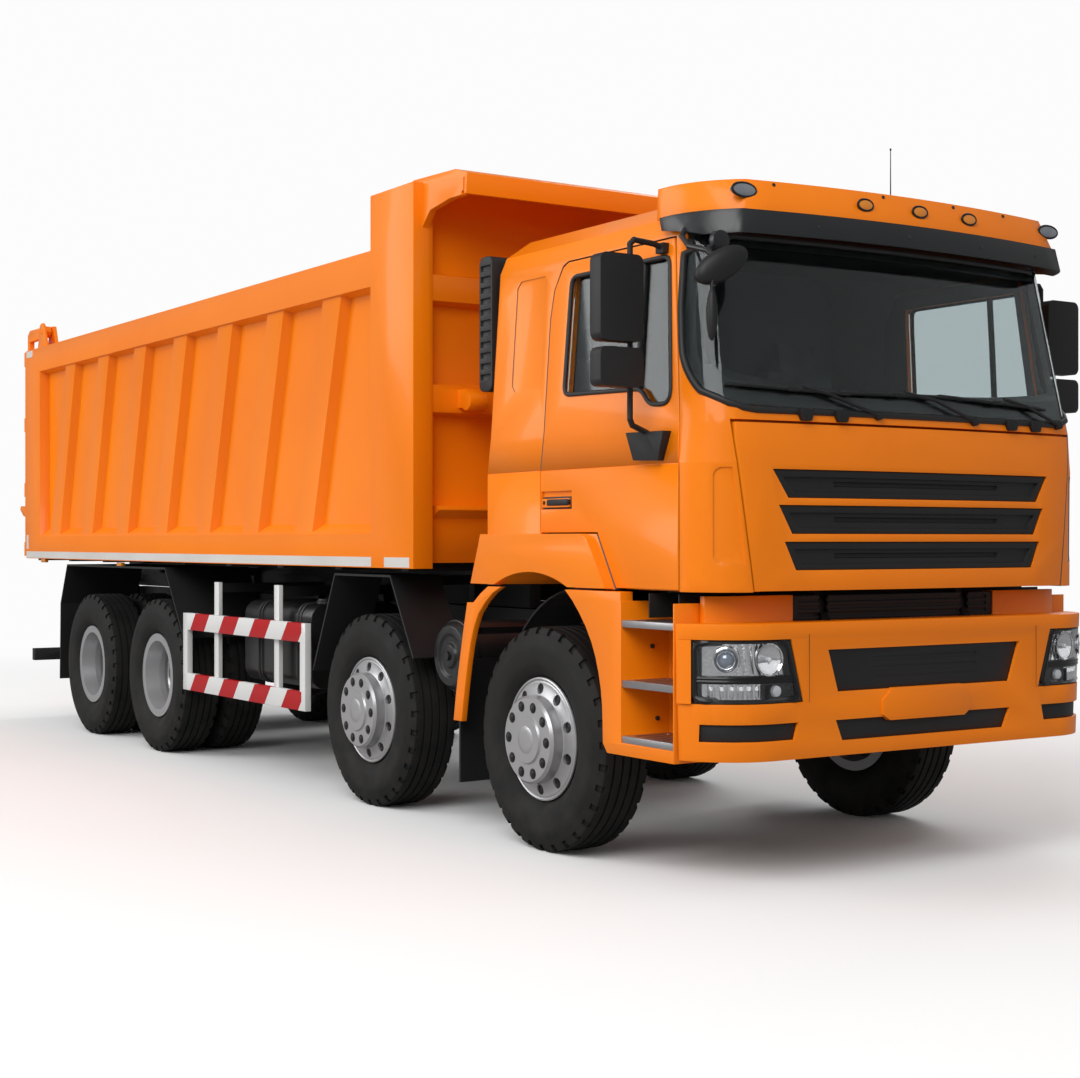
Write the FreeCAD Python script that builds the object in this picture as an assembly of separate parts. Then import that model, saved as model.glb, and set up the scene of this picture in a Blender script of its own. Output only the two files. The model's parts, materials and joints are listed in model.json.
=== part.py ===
"""Heavy four-axle tipper truck: tilting cab, front-hoist dump body, two steered axles.

Frame: +X forward, +Y to the truck's left, +Z up, origin on the ground under the
middle of the bounding box. Every length is in millimetres.
"""
import FreeCAD
import Part
import math
import os

Vec = FreeCAD.Vector

# Wheelbase and overhangs
WHEELBASE_1_2 = 1800.0
WHEELBASE_2_3 = 3175.0
WHEELBASE_3_4 = 1400.0
FRONT_OVERHANG = 1470.0
BED_OVERHANG = 1645.0
LATCH_REACH = 150.0
REAR_OVERHANG = BED_OVERHANG + LATCH_REACH
LENGTH = FRONT_OVERHANG + WHEELBASE_1_2 + WHEELBASE_2_3 + WHEELBASE_3_4 + REAR_OVERHANG
AXLE_1 = LENGTH / 2 - FRONT_OVERHANG
AXLE_2 = AXLE_1 - WHEELBASE_1_2
AXLE_3 = AXLE_2 - WHEELBASE_2_3
AXLE_4 = AXLE_3 - WHEELBASE_3_4
BODY_HALF_WIDTH = 1245.0
RUN = 0.06
SEAT = 0.3
PANEL_GAP = 8.0

# Tyres and wheels
TYRE_RADIUS = 550.0
TYRE_WIDTH = 314.0
RIM_RADIUS = 255.0
FLANGE_RADIUS = 300.0
FRONT_WHEEL_Y = 1024.0
REAR_WHEEL_Y = 1085.0
DUAL_SPACING = 350.0
HUB_FACE_RADIUS = 215.0
HUB_STAND_OUT = 86.0
FLANGE_HALF = 122.0
RIM_PLATE = 7.0
RIM_DROP = 18.0
RIM_WELL_HALF = 20.0
KINGPIN_Y = 838.0
KINGPIN_RADIUS = 28.0
SPINDLE_RADIUS = 45.0

# Ladder frame
FRAME_TOP = 1130.0
FRAME_DEPTH = 300.0
FRAME_OUTER_Y = 425.0
FRAME_FLANGE = 80.0
FRAME_PLATE = 10.0
FRAME_FRONT = AXLE_1 + 1150.0
FRAME_REAR = AXLE_4 - 1125.0
SPRING_Y = 375.0
SPRING_WIDTH = 90.0
FRONT_SPRING_SPAN = 720.0
FRONT_SPRING_LOW = TYRE_RADIUS - 5.0
FRONT_SPRING_RISE = 190.0
FRONT_SPRING_THICK = 110.0
REAR_SPRING_Y = 500.0
REAR_SPRING_THICK = 105.0
REAR_SPRING_LOW = TYRE_RADIUS + 105.0
SPRING_SAG = 3.0
BED_EAR_Y0 = 470.0
BED_EAR_Y1 = 520.0
CAB_EAR_Y0 = 375.0
CAB_EAR_Y1 = 425.0
HOIST_EAR_Y0 = 62.0
HOIST_EAR_Y1 = 92.0
COUPLING_WIDE = 160.0
COUPLING_HIGH = 100.0
COUPLING_HOLE = 10.5
COUPLING_Z = 990.0
COUPLING_PLATE = 12.0

# Tank, filter, side guards and wheel arch liners
TANK_REAR = AXLE_1 - 3600.0
TANK_FRONT = AXLE_1 - 2600.0
FILTER_X = AXLE_1 - 950.0
FILTER_Z = 905.0
FILTER_RADIUS = 184.0
GUARD_IN = 1205.0
GUARD_REAR = AXLE_1 - 4393.0
GUARD_FRONT = AXLE_1 - 2453.0
GUARD_POSTS = (AXLE_1 - 3892.0, AXLE_1 - 2938.0)
GUARD_POST_HALF = 35.0
GUARD_POST_THICK = 25.0
ARCH_X = AXLE_1 + 40.0
ARCH_Z = 545.0
LINER_RADIUS = 735.0
LINER_PLATE = 10.0
LINER_IN = 600.0
LINER_OUT = 940.0

# Dump body
BED_REAR = AXLE_4 - BED_OVERHANG
BED_FRONT = AXLE_1 - 1115.0
BED_BOTTOM = 1370.0
BED_LEDGE = 1560.0
BED_LEDGE_TOP = 1620.0
BED_TOP_RAIL_BOTTOM = 2953.0
BED_TOP = 3155.0
BED_WALL_Y = 1165.0
BED_WALL = 40.0
BED_POST_REAR = 370.0
BED_POST_FRONT = 495.0
BED_POST_TOP = 3463.0
BED_FLOOR_BOTTOM = 1400.0
BED_FLOOR = 50.0
RIB_COUNT = 7
RIB_PITCH = 786.0
RIB_FACE = 250.0
RIB_LEAN = 390.0
RIB_FLANK = 62.0
FIRST_RIB_TOP = AXLE_1 - 1993.0
BED_HINGE_X = AXLE_4 - 1245.0
BED_HINGE_Z = 1205.0
BED_PIN_RADIUS = 35.0
HEADBOARD_X = BED_FRONT - 75.0
RECESS_TOP = 2710.0
RECESS_LOW = 1250.0
RECESS_SLOPE = 0.34
RECESS_PLATE = 14.0
CANOPY_TOP_FRONT = AXLE_1 - 640.0
TAILGATE_THICK = 60.0
TAILGATE_PIN_X = BED_REAR + 470.0
TAILGATE_PIN_Z = 3285.0
TAILGATE_PIN_RADIUS = 22.0

# Hoist between cab and dump body
HOIST_X = AXLE_1 - 945.0
HOIST_FOOT_Z = 1010.0
HOIST_HEAD_Z = 3200.0
HOIST_RADII = (112.0, 94.0, 76.0, 58.0)
HOIST_PIN_RADIUS = 30.0
HOIST_BOTTOM = HOIST_FOOT_Z + 70.0
HOIST_TOP = HOIST_HEAD_Z - 75.0
HOIST_BASE = 64.0
HOIST_FLOOR = 20.0

# Cab
CAB_REAR = AXLE_1 - 420.0
CAB_BOTTOM = 1300.0
CAB_FLOOR_TOP = 1420.0
CAB_WALL = 45.0
CAB_HINGE_X = AXLE_1 + 1300.0
CAB_HINGE_Z = 1050.0
CAB_PIN_RADIUS = 20.0
TUNNEL_HALF = 440.0
TUNNEL_TOP = 1640.0
FIREWALL_X = AXLE_1 + 1205.0
LID_TOP = 2033.0
LID_TOP_GAP = 12.0
LID_THICK = 42.0
LID_HALF = 1057.0
DOOR_REAR = AXLE_1 + 75.0
DOOR_FRONT = AXLE_1 + 1162.0
DOOR_TOP = 2862.0
DOOR_WALL = CAB_WALL + 8.0
DOOR_INNER_Y = 1200.0 - DOOR_WALL
DOOR_LEAN_ROOM = 9.0
GLASS = 8.0
HINGE_PIN = 4.0
HINGE_END = 7.0
HINGE_POCKET = 8.5
DOOR_AXIS_X = DOOR_FRONT - 13.0
DOOR_AXIS_Y = 1190.0
DOOR_HINGE_Z = (1500.0, 1800.0)
LID_AXIS_X = AXLE_1 + 1421.0
LID_AXIS_Z = LID_TOP - 8.0
LID_HINGE_Y = (-200.0, 200.0)
WINDSCREEN_INSET = 3.0
WINDSCREEN_EDGE = 55.0
PRESSING = 5.0
GRILLE_SLIT_DEPTH = 34.0
VISOR_LOW = 2958.0
VISOR_TOP = 3100.0
MIRROR_OUT = 1530.0
MIRROR_IN = 1300.0
# Top, bottom, half width at the top and at the bottom of the lid's grille bars
GRILLE_ROWS = ((1834.0, 1709.0, 872.0, 790.0), (1678.0, 1552.0, 840.0, 770.0),
               (1518.0, 1393.0, 810.0, 750.0))
# Height, half width, end of the flat side, corner point and front centre of the cab's skin
CAB_SECTIONS = (
    (1300.0, 1200.0, 1150.0, 1400.0, 985.0, 1442.0),
    (1860.0, 1200.0, 1150.0, 1390.0, 1020.0, 1442.0),
    (2045.0, 1180.0, 1140.0, 1375.0, 1045.0, 1432.0),
    (2880.0, 1122.0, 1000.0, 1215.0, 985.0, 1285.0),
    (2965.0, 1085.0, 975.0, 1175.0, 950.0, 1255.0),
    (3062.0, 940.0, 900.0, 1060.0, 800.0, 1140.0),
)

# Bumper and steps
BUMPER_FRONT = AXLE_1 + FRONT_OVERHANG
BUMPER_BOTTOM = 575.0
BUMPER_TOP = 1165.0
BUMPER_STEP_TOP = 1280.0
BUMPER_WALL = 60.0
BUMPER_TAPER = 18.0
BUMPER_FLAT = 900.0
BUMPER_SIDE_X = AXLE_1 + 1200.0
GRILLE_DEPTH = 40.0
LAMP_DEPTH = 48.0
HEADLAMP_IN_TOP = 821.0
HEADLAMP_IN_LOW = 744.0
HEADLAMP_TOP = 1098.0
HEADLAMP_LOW = 822.0
HEADLAMP_OUT = 1205.0
TOW_PIN_RADIUS = 20.0
TOW_PIN_X = BUMPER_FRONT - 150.0
STEP_REAR = AXLE_1 + 790.0
STEP_FRONT = AXLE_1 + 1190.0
STEP_LEVELS = (645.0, 895.0, 1165.0)
TREAD_THICK = 32.0
STRIP_THICK = 32.0


def box(x0, x1, y0, y1, z0, z1):
    """Return an axis-aligned box between two corners."""
    return Part.makeBox(x1 - x0, y1 - y0, z1 - z0, Vec(x0, y0, z0))


def both_sides(x0, x1, y0, y1, z0, z1):
    """Return the boxes on the left and right sides between two distances from the middle."""
    return [box(x0, x1, y0, y1, z0, z1), box(x0, x1, -y1, -y0, z0, z1)]


def plate_xz(points, y0, y1):
    """Return the prism of an outline in the XZ plane between two values of Y."""
    wire = Part.makePolygon([Vec(x, y0, z) for x, z in points + points[:1]])
    return Part.Face(wire).extrude(Vec(0, y1 - y0, 0))


def plate_yz(points, x0, x1):
    """Return the prism of an outline in the YZ plane between two values of X."""
    wire = Part.makePolygon([Vec(x0, y, z) for y, z in points + points[:1]])
    return Part.Face(wire).extrude(Vec(x1 - x0, 0, 0))


def plate_xy(points, z0, z1):
    """Return the prism of an outline in the XY plane between two values of Z."""
    wire = Part.makePolygon([Vec(x, y, z0) for x, y in points + points[:1]])
    return Part.Face(wire).extrude(Vec(0, 0, z1 - z0))


def rod_y(x, z, radius, y0, y1):
    """Return a round bar along Y."""
    return Part.makeCylinder(radius, y1 - y0, Vec(x, y0, z), Vec(0, 1, 0))


def rod_between(start, end, radius):
    """Return a round bar between two points."""
    return Part.makeCylinder(radius, (end - start).Length, start, end - start)


def mirrored(shape):
    """Return the shape's mirror image on the other side of the truck."""
    return shape.mirror(Vec(0, 0, 0), Vec(0, 1, 0))


def fused(shapes):
    """Return one shape made of pieces that touch or overlap."""
    first = shapes[0]
    return first.fuse(shapes[1:]).removeSplitter() if len(shapes) > 1 else first


def pair(shape):
    """Return the shape with its mirror image, as two solids."""
    return Part.makeCompound([shape, mirrored(shape)])


def turned(profile, centre_x, centre_z):
    """Return the solid of revolution about the line along Y through a wheel's centre.

    The profile lists (radius, y) points.
    """
    points = [Vec(centre_x, y, centre_z + r) for r, y in profile]
    wire = Part.makePolygon(points + points[:1])
    return Part.Face(wire).revolve(Vec(centre_x, 0, centre_z), Vec(0, 1, 0), 360)


def ring_of_holes(centre_x, centre_z, ring_radius, hole_radius, count, y0, y1, start=0.0):
    """Return a ring of drills along Y."""
    drills = []
    for index in range(count):
        angle = start + 2 * math.pi * index / count
        x = centre_x + ring_radius * math.cos(angle)
        z = centre_z + ring_radius * math.sin(angle)
        drills.append(rod_y(x, z, hole_radius, y0, y1))
    return Part.makeCompound(drills)


def rim_seat(offset):
    """Return the rim barrel's outer radius at a distance from its middle."""
    slope = RIM_DROP / (FLANGE_HALF - 2 * RIM_PLATE - RIM_WELL_HALF)
    return RIM_RADIUS - slope * (FLANGE_HALF - 2 * RIM_PLATE - offset)


def tyre(centre_x, middle_y):
    """Return one tyre with shoulders, sidewalls and beads, seated on its rim."""
    half = TYRE_WIDTH / 2
    bead = FLANGE_HALF - 20.0
    profile = [
        (rim_seat(bead) + SEAT, middle_y - bead), (FLANGE_RADIUS + 4, middle_y - bead - 6),
        (FLANGE_RADIUS + 70, middle_y - half + 4), (TYRE_RADIUS - 110, middle_y - half),
        (TYRE_RADIUS - 40, middle_y - half + 18), (TYRE_RADIUS - 6, middle_y - half + 34),
        (TYRE_RADIUS, middle_y - half + 60),
    ]
    profile += [(r, 2 * middle_y - y) for r, y in reversed(profile)]
    return turned(profile, centre_x, TYRE_RADIUS)


def rim_barrel(middle_y):
    """Return the (radius, y) outline of a rim barrel with its two flanges."""
    flange, seat, wall, well = FLANGE_HALF, RIM_RADIUS, RIM_PLATE, RIM_RADIUS - RIM_DROP
    half = [
        (seat - wall, flange), (FLANGE_RADIUS, flange), (FLANGE_RADIUS, flange - wall),
        (seat, flange - 2 * wall), (well, RIM_WELL_HALF),
    ]
    inside = (well - wall, RIM_WELL_HALF)
    outer = [(r, middle_y + y) for r, y in half]
    return ([(inside[0], middle_y + inside[1])] + outer
            + [(r, 2 * middle_y - y) for r, y in reversed(outer)]
            + [(inside[0], middle_y - inside[1])])


def front_wheel(centre_x):
    """Return the left front wheel's rim and hub as one solid, drum open to the inside."""
    y = FRONT_WHEEL_Y
    face = y + FLANGE_HALF + HUB_STAND_OUT
    vent = y + 78.0
    barrel = turned(rim_barrel(y), centre_x, TYRE_RADIUS)
    disc = turned([
        (RIM_RADIUS - 12, vent - 22), (RIM_RADIUS - 12, vent - 10),
        (HUB_FACE_RADIUS, vent + 34), (HUB_FACE_RADIUS, face - 14),
        (HUB_FACE_RADIUS - 12, face), (118, face), (112, face + 10), (0, face + 10),
        (0, y - 40), (SPINDLE_RADIUS + 40, y - 40), (SPINDLE_RADIUS + 40, y - 10),
        (185, y - 10), (185, vent + 4), (HUB_FACE_RADIUS - 12, vent + 4),
    ], centre_x, TYRE_RADIUS)
    bore = rod_y(centre_x, TYRE_RADIUS, SPINDLE_RADIUS + RUN, y - 60, y + 70)
    vents = ring_of_holes(centre_x, TYRE_RADIUS, (RIM_RADIUS + HUB_FACE_RADIUS) / 2 - 4, 15, 10,
                          vent - 60, vent + 60, math.pi / 10)
    nuts = ring_of_holes(centre_x, TYRE_RADIUS, 167.5, 17, 10, face - 16, face + 6)
    return barrel.fuse(disc).cut([bore, vents, nuts]).removeSplitter()


def rear_wheel(centre_x):
    """Return the left rear pair of rims with their shared hub as one solid."""
    outer = REAR_WHEEL_Y
    inner = REAR_WHEEL_Y - DUAL_SPACING
    joint = (outer + inner) / 2
    rims = [turned(rim_barrel(outer), centre_x, TYRE_RADIUS),
            turned(rim_barrel(inner), centre_x, TYRE_RADIUS)]
    dish = turned([
        (RIM_RADIUS - 14, outer - 60), (RIM_RADIUS - 14, outer - 30),
        (190, joint + 22), (150, joint + 22), (150, joint + 118), (132, joint + 150),
        (60, joint + 160), (60, joint + 172), (0, joint + 172), (0, joint - 140),
        (100, joint - 140), (100, joint - 24), (190, joint - 24),
        (RIM_RADIUS - 14, inner + 30), (RIM_RADIUS - 14, inner + 60),
        (205, joint - 4), (205, joint + 4),
    ], centre_x, TYRE_RADIUS)
    bore = rod_y(centre_x, TYRE_RADIUS, SPINDLE_RADIUS + RUN, joint - 160, joint + 60)
    nuts = ring_of_holes(centre_x, TYRE_RADIUS, 168, 13, 10, joint + 10, joint + 40)
    return fused(rims + [dish]).cut([bore, nuts]).removeSplitter()


def knuckle(centre_x):
    """Return a left steering knuckle: kingpin, yoke and spindle as one solid."""
    z = TYRE_RADIUS
    y = KINGPIN_Y
    pin = Part.makeCylinder(KINGPIN_RADIUS, 260, Vec(centre_x, y, z - 130))
    ears = [box(centre_x - 45, centre_x + 45, y - 45, y + 62, z + 72, z + 130),
            box(centre_x - 45, centre_x + 45, y - 45, y + 62, z - 130, z - 72)]
    flange = box(centre_x - 60, centre_x + 60, y + 61, y + 88, z - 130, z + 130)
    spindle = rod_y(centre_x, z, SPINDLE_RADIUS, y + 60, FRONT_WHEEL_Y + 40)
    return fused([pin] + ears + [flange, spindle])


def front_axle(centre_x):
    """Return a forged front axle beam with a dropped middle and two kingpin eyes."""
    z = TYRE_RADIUS
    drop = [
        (-KINGPIN_Y, z - 45), (-KINGPIN_Y, z + 45), (-620, z + 40), (-480, z - 5),
        (480, z - 5), (620, z + 40), (KINGPIN_Y, z + 45), (KINGPIN_Y, z - 45),
        (600, z - 60), (460, z - 125), (-460, z - 125), (-600, z - 60),
    ]
    beam = plate_yz(drop, centre_x - 48, centre_x + 48)
    parts = [beam]
    for side in (-1, 1):
        parts.append(Part.makeCylinder(58, 140, Vec(centre_x, side * KINGPIN_Y, z - 70)))
    beam = fused(parts)
    groove = [(-440, z - 110), (440, z - 110), (440, z - 20), (-440, z - 20)]
    cuts = [plate_yz(groove, centre_x + 14, centre_x + 60),
            plate_yz(groove, centre_x - 60, centre_x - 14)]
    for side in (-1, 1):
        cuts.append(Part.makeCylinder(KINGPIN_RADIUS + RUN, 200,
                                      Vec(centre_x, side * KINGPIN_Y, z - 100)))
    return beam.cut(cuts)


def rear_axle(centre_x):
    """Return a driven axle housing with its differential bowl and two spindles."""
    z = TYRE_RADIUS
    joint = REAR_WHEEL_Y - DUAL_SPACING / 2
    tube = rod_y(centre_x, z, 82, -(joint - 300), joint - 300)
    drum = [rod_y(centre_x, z, 150, joint - 325, joint - 165),
            rod_y(centre_x, z, 150, -(joint - 165), -(joint - 325))]
    spindles = rod_y(centre_x, z, SPINDLE_RADIUS, -(joint + 40), joint + 40)
    bowl = turned([(0, -250), (90, -240), (190, -120), (215, 0), (190, 120), (90, 240), (0, 250)],
                  centre_x, z)
    nose = Part.makeCone(130, 70, 300, Vec(centre_x + 100, 0, z + 40), Vec(1, 0, 0))
    return fused([tube, spindles, bowl, nose] + drum)


def leaf_pack(centre_x, half_span, low_z, rise, thick, y_middle):
    """Return a leaf spring pack that bows between its two ends."""
    points = []
    steps = 6
    for index in range(steps + 1):
        t = -1 + 2 * index / steps
        points.append((centre_x + t * half_span, low_z + rise * t * t))
    for index in range(steps + 1):
        t = 1 - 2 * index / steps
        points.append((centre_x + t * half_span, low_z + rise * t * t + thick * (1 - 0.72 * t * t)))
    return plate_xz(points, y_middle - SPRING_WIDTH / 2, y_middle + SPRING_WIDTH / 2)


def leaf_springs():
    """Return the front and rear spring packs, each a solid of its own."""
    packs = []
    for axle in (AXLE_1, AXLE_2):
        for side in (-1, 1):
            packs.append(leaf_pack(axle, FRONT_SPRING_SPAN, FRONT_SPRING_LOW, FRONT_SPRING_RISE,
                                   FRONT_SPRING_THICK, side * SPRING_Y))
    middle = (AXLE_3 + AXLE_4) / 2
    for side in (-1, 1):
        packs.append(leaf_pack(middle, WHEELBASE_3_4 / 2 + 40, REAR_SPRING_LOW, -SPRING_SAG * 7,
                               REAR_SPRING_THICK, side * REAR_SPRING_Y))
    return Part.makeCompound(packs)


def rail(side):
    """Return one channel rail of the ladder frame, open to the inside."""
    low = FRAME_TOP - FRAME_DEPTH
    web = FRAME_OUTER_Y - FRAME_PLATE
    lip = FRAME_OUTER_Y - FRAME_FLANGE
    outline = [
        (FRAME_OUTER_Y, low), (FRAME_OUTER_Y, FRAME_TOP), (lip, FRAME_TOP),
        (lip, FRAME_TOP - FRAME_PLATE), (web, FRAME_TOP - FRAME_PLATE),
        (web, low + FRAME_PLATE), (lip, low + FRAME_PLATE), (lip, low),
    ]
    return plate_yz([(side * y, z) for y, z in outline], FRAME_REAR, FRAME_FRONT)


def chassis_frame():
    """Return the ladder frame with cross members, spring hangers and pivot brackets."""
    low = FRAME_TOP - FRAME_DEPTH
    web = FRAME_OUTER_Y - FRAME_PLATE
    parts = [rail(-1), rail(1)]
    cross = (FRAME_FRONT - 60, AXLE_1 - 1240, AXLE_2 - 950, AXLE_3 + 900, AXLE_4 - 500,
             FRAME_REAR + FRAME_PLATE)
    for x in cross:
        parts.append(box(x, x + 60, -web, web, low + 60, FRAME_TOP - 40))
    flange = box(FRAME_REAR - COUPLING_PLATE, FRAME_REAR + 30, -COUPLING_WIDE, COUPLING_WIDE,
                 COUPLING_Z - COUPLING_HIGH + 10, COUPLING_Z + COUPLING_HIGH - 10)
    parts[-1] = parts[-1].fuse(flange).removeSplitter().cut(coupling_holes())
    ends = []
    for axle in (AXLE_1, AXLE_2):
        ends += [axle - FRONT_SPRING_SPAN, axle + FRONT_SPRING_SPAN]
    end_z = FRONT_SPRING_LOW + FRONT_SPRING_RISE + FRONT_SPRING_THICK * 0.28
    for x in ends:
        parts += both_sides(x - 45, x + 45, SPRING_Y - 45, SPRING_Y + 45, end_z, low)
    middle = (AXLE_3 + AXLE_4) / 2
    parts += both_sides(middle - 130, middle + 130, FRAME_OUTER_Y - 60, FRAME_OUTER_Y,
                        TYRE_RADIUS - 20, low)
    seat_z = REAR_SPRING_LOW - SPRING_SAG
    parts += [rod_y(middle, TYRE_RADIUS + 40, 52, 350, 560),
              rod_y(middle, TYRE_RADIUS + 40, 52, -560, -350)]
    parts += both_sides(middle - 90, middle + 90, REAR_SPRING_Y - 50, REAR_SPRING_Y + 50,
                        TYRE_RADIUS + 20, seat_z)
    parts += bed_pivot_brackets() + cab_pivot_brackets() + hoist_cradle()
    parts += bumper_brackets()
    return Part.makeCompound([fused(parts)] + guard_arms())


def bed_pivot_brackets():
    """Return the two ears and the cross shaft that the dump body tips on."""
    low = FRAME_TOP - FRAME_DEPTH
    outline = [
        (FRAME_REAR + 200, low + 40), (FRAME_REAR + 200, FRAME_TOP),
        (BED_HINGE_X + 60, BED_HINGE_Z + 60), (BED_HINGE_X - 60, BED_HINGE_Z + 60),
        (BED_HINGE_X - 60, BED_HINGE_Z - 60), (FRAME_REAR, low + 40),
    ]
    ears = [plate_xz(outline, BED_EAR_Y0, BED_EAR_Y1), plate_xz(outline, -BED_EAR_Y1, -BED_EAR_Y0)]
    seats = both_sides(FRAME_REAR + 20, FRAME_REAR + 200, FRAME_OUTER_Y, BED_EAR_Y0, low + 45,
                       FRAME_TOP - 60)
    shaft = rod_y(BED_HINGE_X, BED_HINGE_Z, BED_PIN_RADIUS, -BED_EAR_Y1 - 20, BED_EAR_Y1 + 20)
    return ears + seats + [shaft]


def cab_pivot_brackets():
    """Return the front ears of the frame with the pins that the cab tips on."""
    outline = [
        (FRAME_FRONT - 80, FRAME_TOP - 250), (FRAME_FRONT - 80, FRAME_TOP - 20),
        (CAB_HINGE_X + 38, CAB_HINGE_Z + 38), (CAB_HINGE_X + 38, CAB_HINGE_Z - 60),
    ]
    parts = []
    for side in (-1, 1):
        y0, y1 = sorted((side * CAB_EAR_Y0, side * CAB_EAR_Y1))
        parts.append(plate_xz(outline, y0, y1))
        p0, p1 = sorted((side * CAB_EAR_Y0, side * (CAB_EAR_Y1 + 60)))
        parts.append(rod_y(CAB_HINGE_X, CAB_HINGE_Z, CAB_PIN_RADIUS, p0, p1))
    return parts


def hoist_cradle():
    """Return the cross beam and ears with the pin that carries the hoist's foot."""
    low = FRAME_TOP - FRAME_DEPTH
    web = FRAME_OUTER_Y - FRAME_PLATE
    beam = box(HOIST_X - 70, HOIST_X + 70, -web, web, low + 60, HOIST_FOOT_Z - 75)
    ears = both_sides(HOIST_X - 45, HOIST_X + 45, HOIST_EAR_Y0, HOIST_EAR_Y1, low + 80,
                      HOIST_FOOT_Z + 45)
    pin = rod_y(HOIST_X, HOIST_FOOT_Z, HOIST_PIN_RADIUS, -HOIST_EAR_Y1, HOIST_EAR_Y1)
    return [beam] + ears + [pin]


def bumper_brackets():
    """Return the two arms that carry the front bumper ahead of the frame."""
    low = FRAME_TOP - FRAME_DEPTH
    inner = BUMPER_FRONT - BUMPER_WALL - BUMPER_TAPER * 0.7 - SEAT
    arms = both_sides(FRAME_FRONT - 120, inner, FRAME_OUTER_Y - 80, FRAME_OUTER_Y, low - 60,
                      low + 60)
    return [arm.cut(tow_pin_bores()) for arm in arms]


def coupling_holes():
    """Return the drills of the trailer coupling's flange in the rear cross member."""
    drills = []
    for y in (-COUPLING_WIDE / 2, COUPLING_WIDE / 2):
        for z in (COUPLING_Z - COUPLING_HIGH / 2, COUPLING_Z + COUPLING_HIGH / 2):
            start = Vec(FRAME_REAR - COUPLING_PLATE - 10, y, z)
            drills.append(Part.makeCylinder(COUPLING_HOLE, COUPLING_PLATE + 80, start, Vec(1, 0, 0)))
    return drills


def tow_pin_bores():
    """Return the upright bores for the front tow pins in the bumper's arms."""
    low = FRAME_TOP - FRAME_DEPTH
    return [Part.makeCylinder(TOW_PIN_RADIUS, 140, Vec(TOW_PIN_X, side * (FRAME_OUTER_Y - 40), low - 70))
            for side in (-1, 1)]


def engine():
    """Return the engine with its gearbox as a plain block of the real size."""
    low = FRAME_TOP - FRAME_DEPTH
    block = box(AXLE_1 - 350, AXLE_1 + 800, -325, 325, low + 20, 1560)
    sump = box(AXLE_1 - 250, AXLE_1 + 700, -200, 200, 640, low + 20)
    gearbox = box(AXLE_1 - 800, AXLE_1 - 350, -215, 215, 690, FRAME_TOP - 60)
    web = FRAME_OUTER_Y - FRAME_PLATE
    mounts = []
    for x in (AXLE_1 - 250, AXLE_1 + 640):
        mounts += both_sides(x, x + 100, 320, web, low + 90, low + 170)
    return fused([block, sump, gearbox] + mounts)


def radiator():
    """Return the radiator pack that stands behind the front lid."""
    x0 = AXLE_1 + 900
    web = FRAME_OUTER_Y - FRAME_PLATE
    core = box(x0, x0 + 110, -330, 330, 800, 1590)
    feet = both_sides(x0 + 20, x0 + 90, 300, web, 900, 960)
    return fused([core] + feet)


def drive_shafts():
    """Return the propeller shafts from gearbox to first and second driven axle."""
    start = Vec(AXLE_1 - 804, 0, 790)
    middle = Vec(AXLE_2 - 850, 0, 760)
    nose = Vec(AXLE_3 + 398, 0, TYRE_RADIUS + 40)
    first = rod_between(start, middle, 50)
    second = rod_between(middle, nose, 50)
    bearing = box(middle.x - 40, middle.x + 40, -90, 90, middle.z - 80, FRAME_TOP - 40)
    third = rod_between(Vec(AXLE_3 - 150, 0, TYRE_RADIUS + 40), Vec(AXLE_4 + 398, 0, TYRE_RADIUS + 40), 45)
    return [first, second, bearing, third]


def rear_axles():
    """Return both driven axles with the shafts that drive them as one piece."""
    return fused([rear_axle(AXLE_3), rear_axle(AXLE_4)] + drive_shafts())


def front_axles():
    """Return the two steered axle beams."""
    return Part.makeCompound([front_axle(AXLE_1), front_axle(AXLE_2)])


def tank_body(x0, x1, y0, y1, z0, z1, radius):
    """Return a box with its four long edges rounded."""
    body = box(x0, x1, y0, y1, z0, z1)
    edges = [e for e in body.Edges if abs(e.BoundBox.XLength - (x1 - x0)) < 1e-6]
    return body.makeFillet(radius, edges)


def fuel_tank():
    """Return the fuel tank on the right side with its two saddle brackets."""
    tank = tank_body(TANK_REAR, TANK_FRONT, -1130, -500, 605, 1130, 90)
    saddles = []
    for x in (TANK_REAR + 160, TANK_FRONT - 220):
        saddles.append(box(x, x + 60, -520, -FRAME_OUTER_Y, 860, 1090))
    return fused([tank] + saddles)


def battery_box():
    """Return the ribbed battery box on the left side with its bracket."""
    body = box(AXLE_1 - 3350, AXLE_1 - 2620, 500, 1080, 620, 1060)
    lid = box(AXLE_1 - 3362, AXLE_1 - 2608, 490, 1092, 1060, 1100)
    arm = box(AXLE_1 - 3200, AXLE_1 - 2760, FRAME_OUTER_Y, 510, 860, 1000)
    return fused([body, lid, arm])


def air_filter():
    """Return the round air filter that lies across the frame between the first two axles."""
    profile = [
        (0, 470), (FILTER_RADIUS - 20, 470), (FILTER_RADIUS - 20, 640), (FILTER_RADIUS, 650),
        (FILTER_RADIUS, 1090), (FILTER_RADIUS - 24, 1118), (120, 1118), (105, 1106), (70, 1106),
        (60, 1122), (0, 1122),
    ]
    body = mirrored(turned(profile, FILTER_X, FILTER_Z))
    arm = box(FILTER_X - 60, FILTER_X + 60, -500, -FRAME_OUTER_Y, 870, 990)
    return fused([body, arm])


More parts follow.
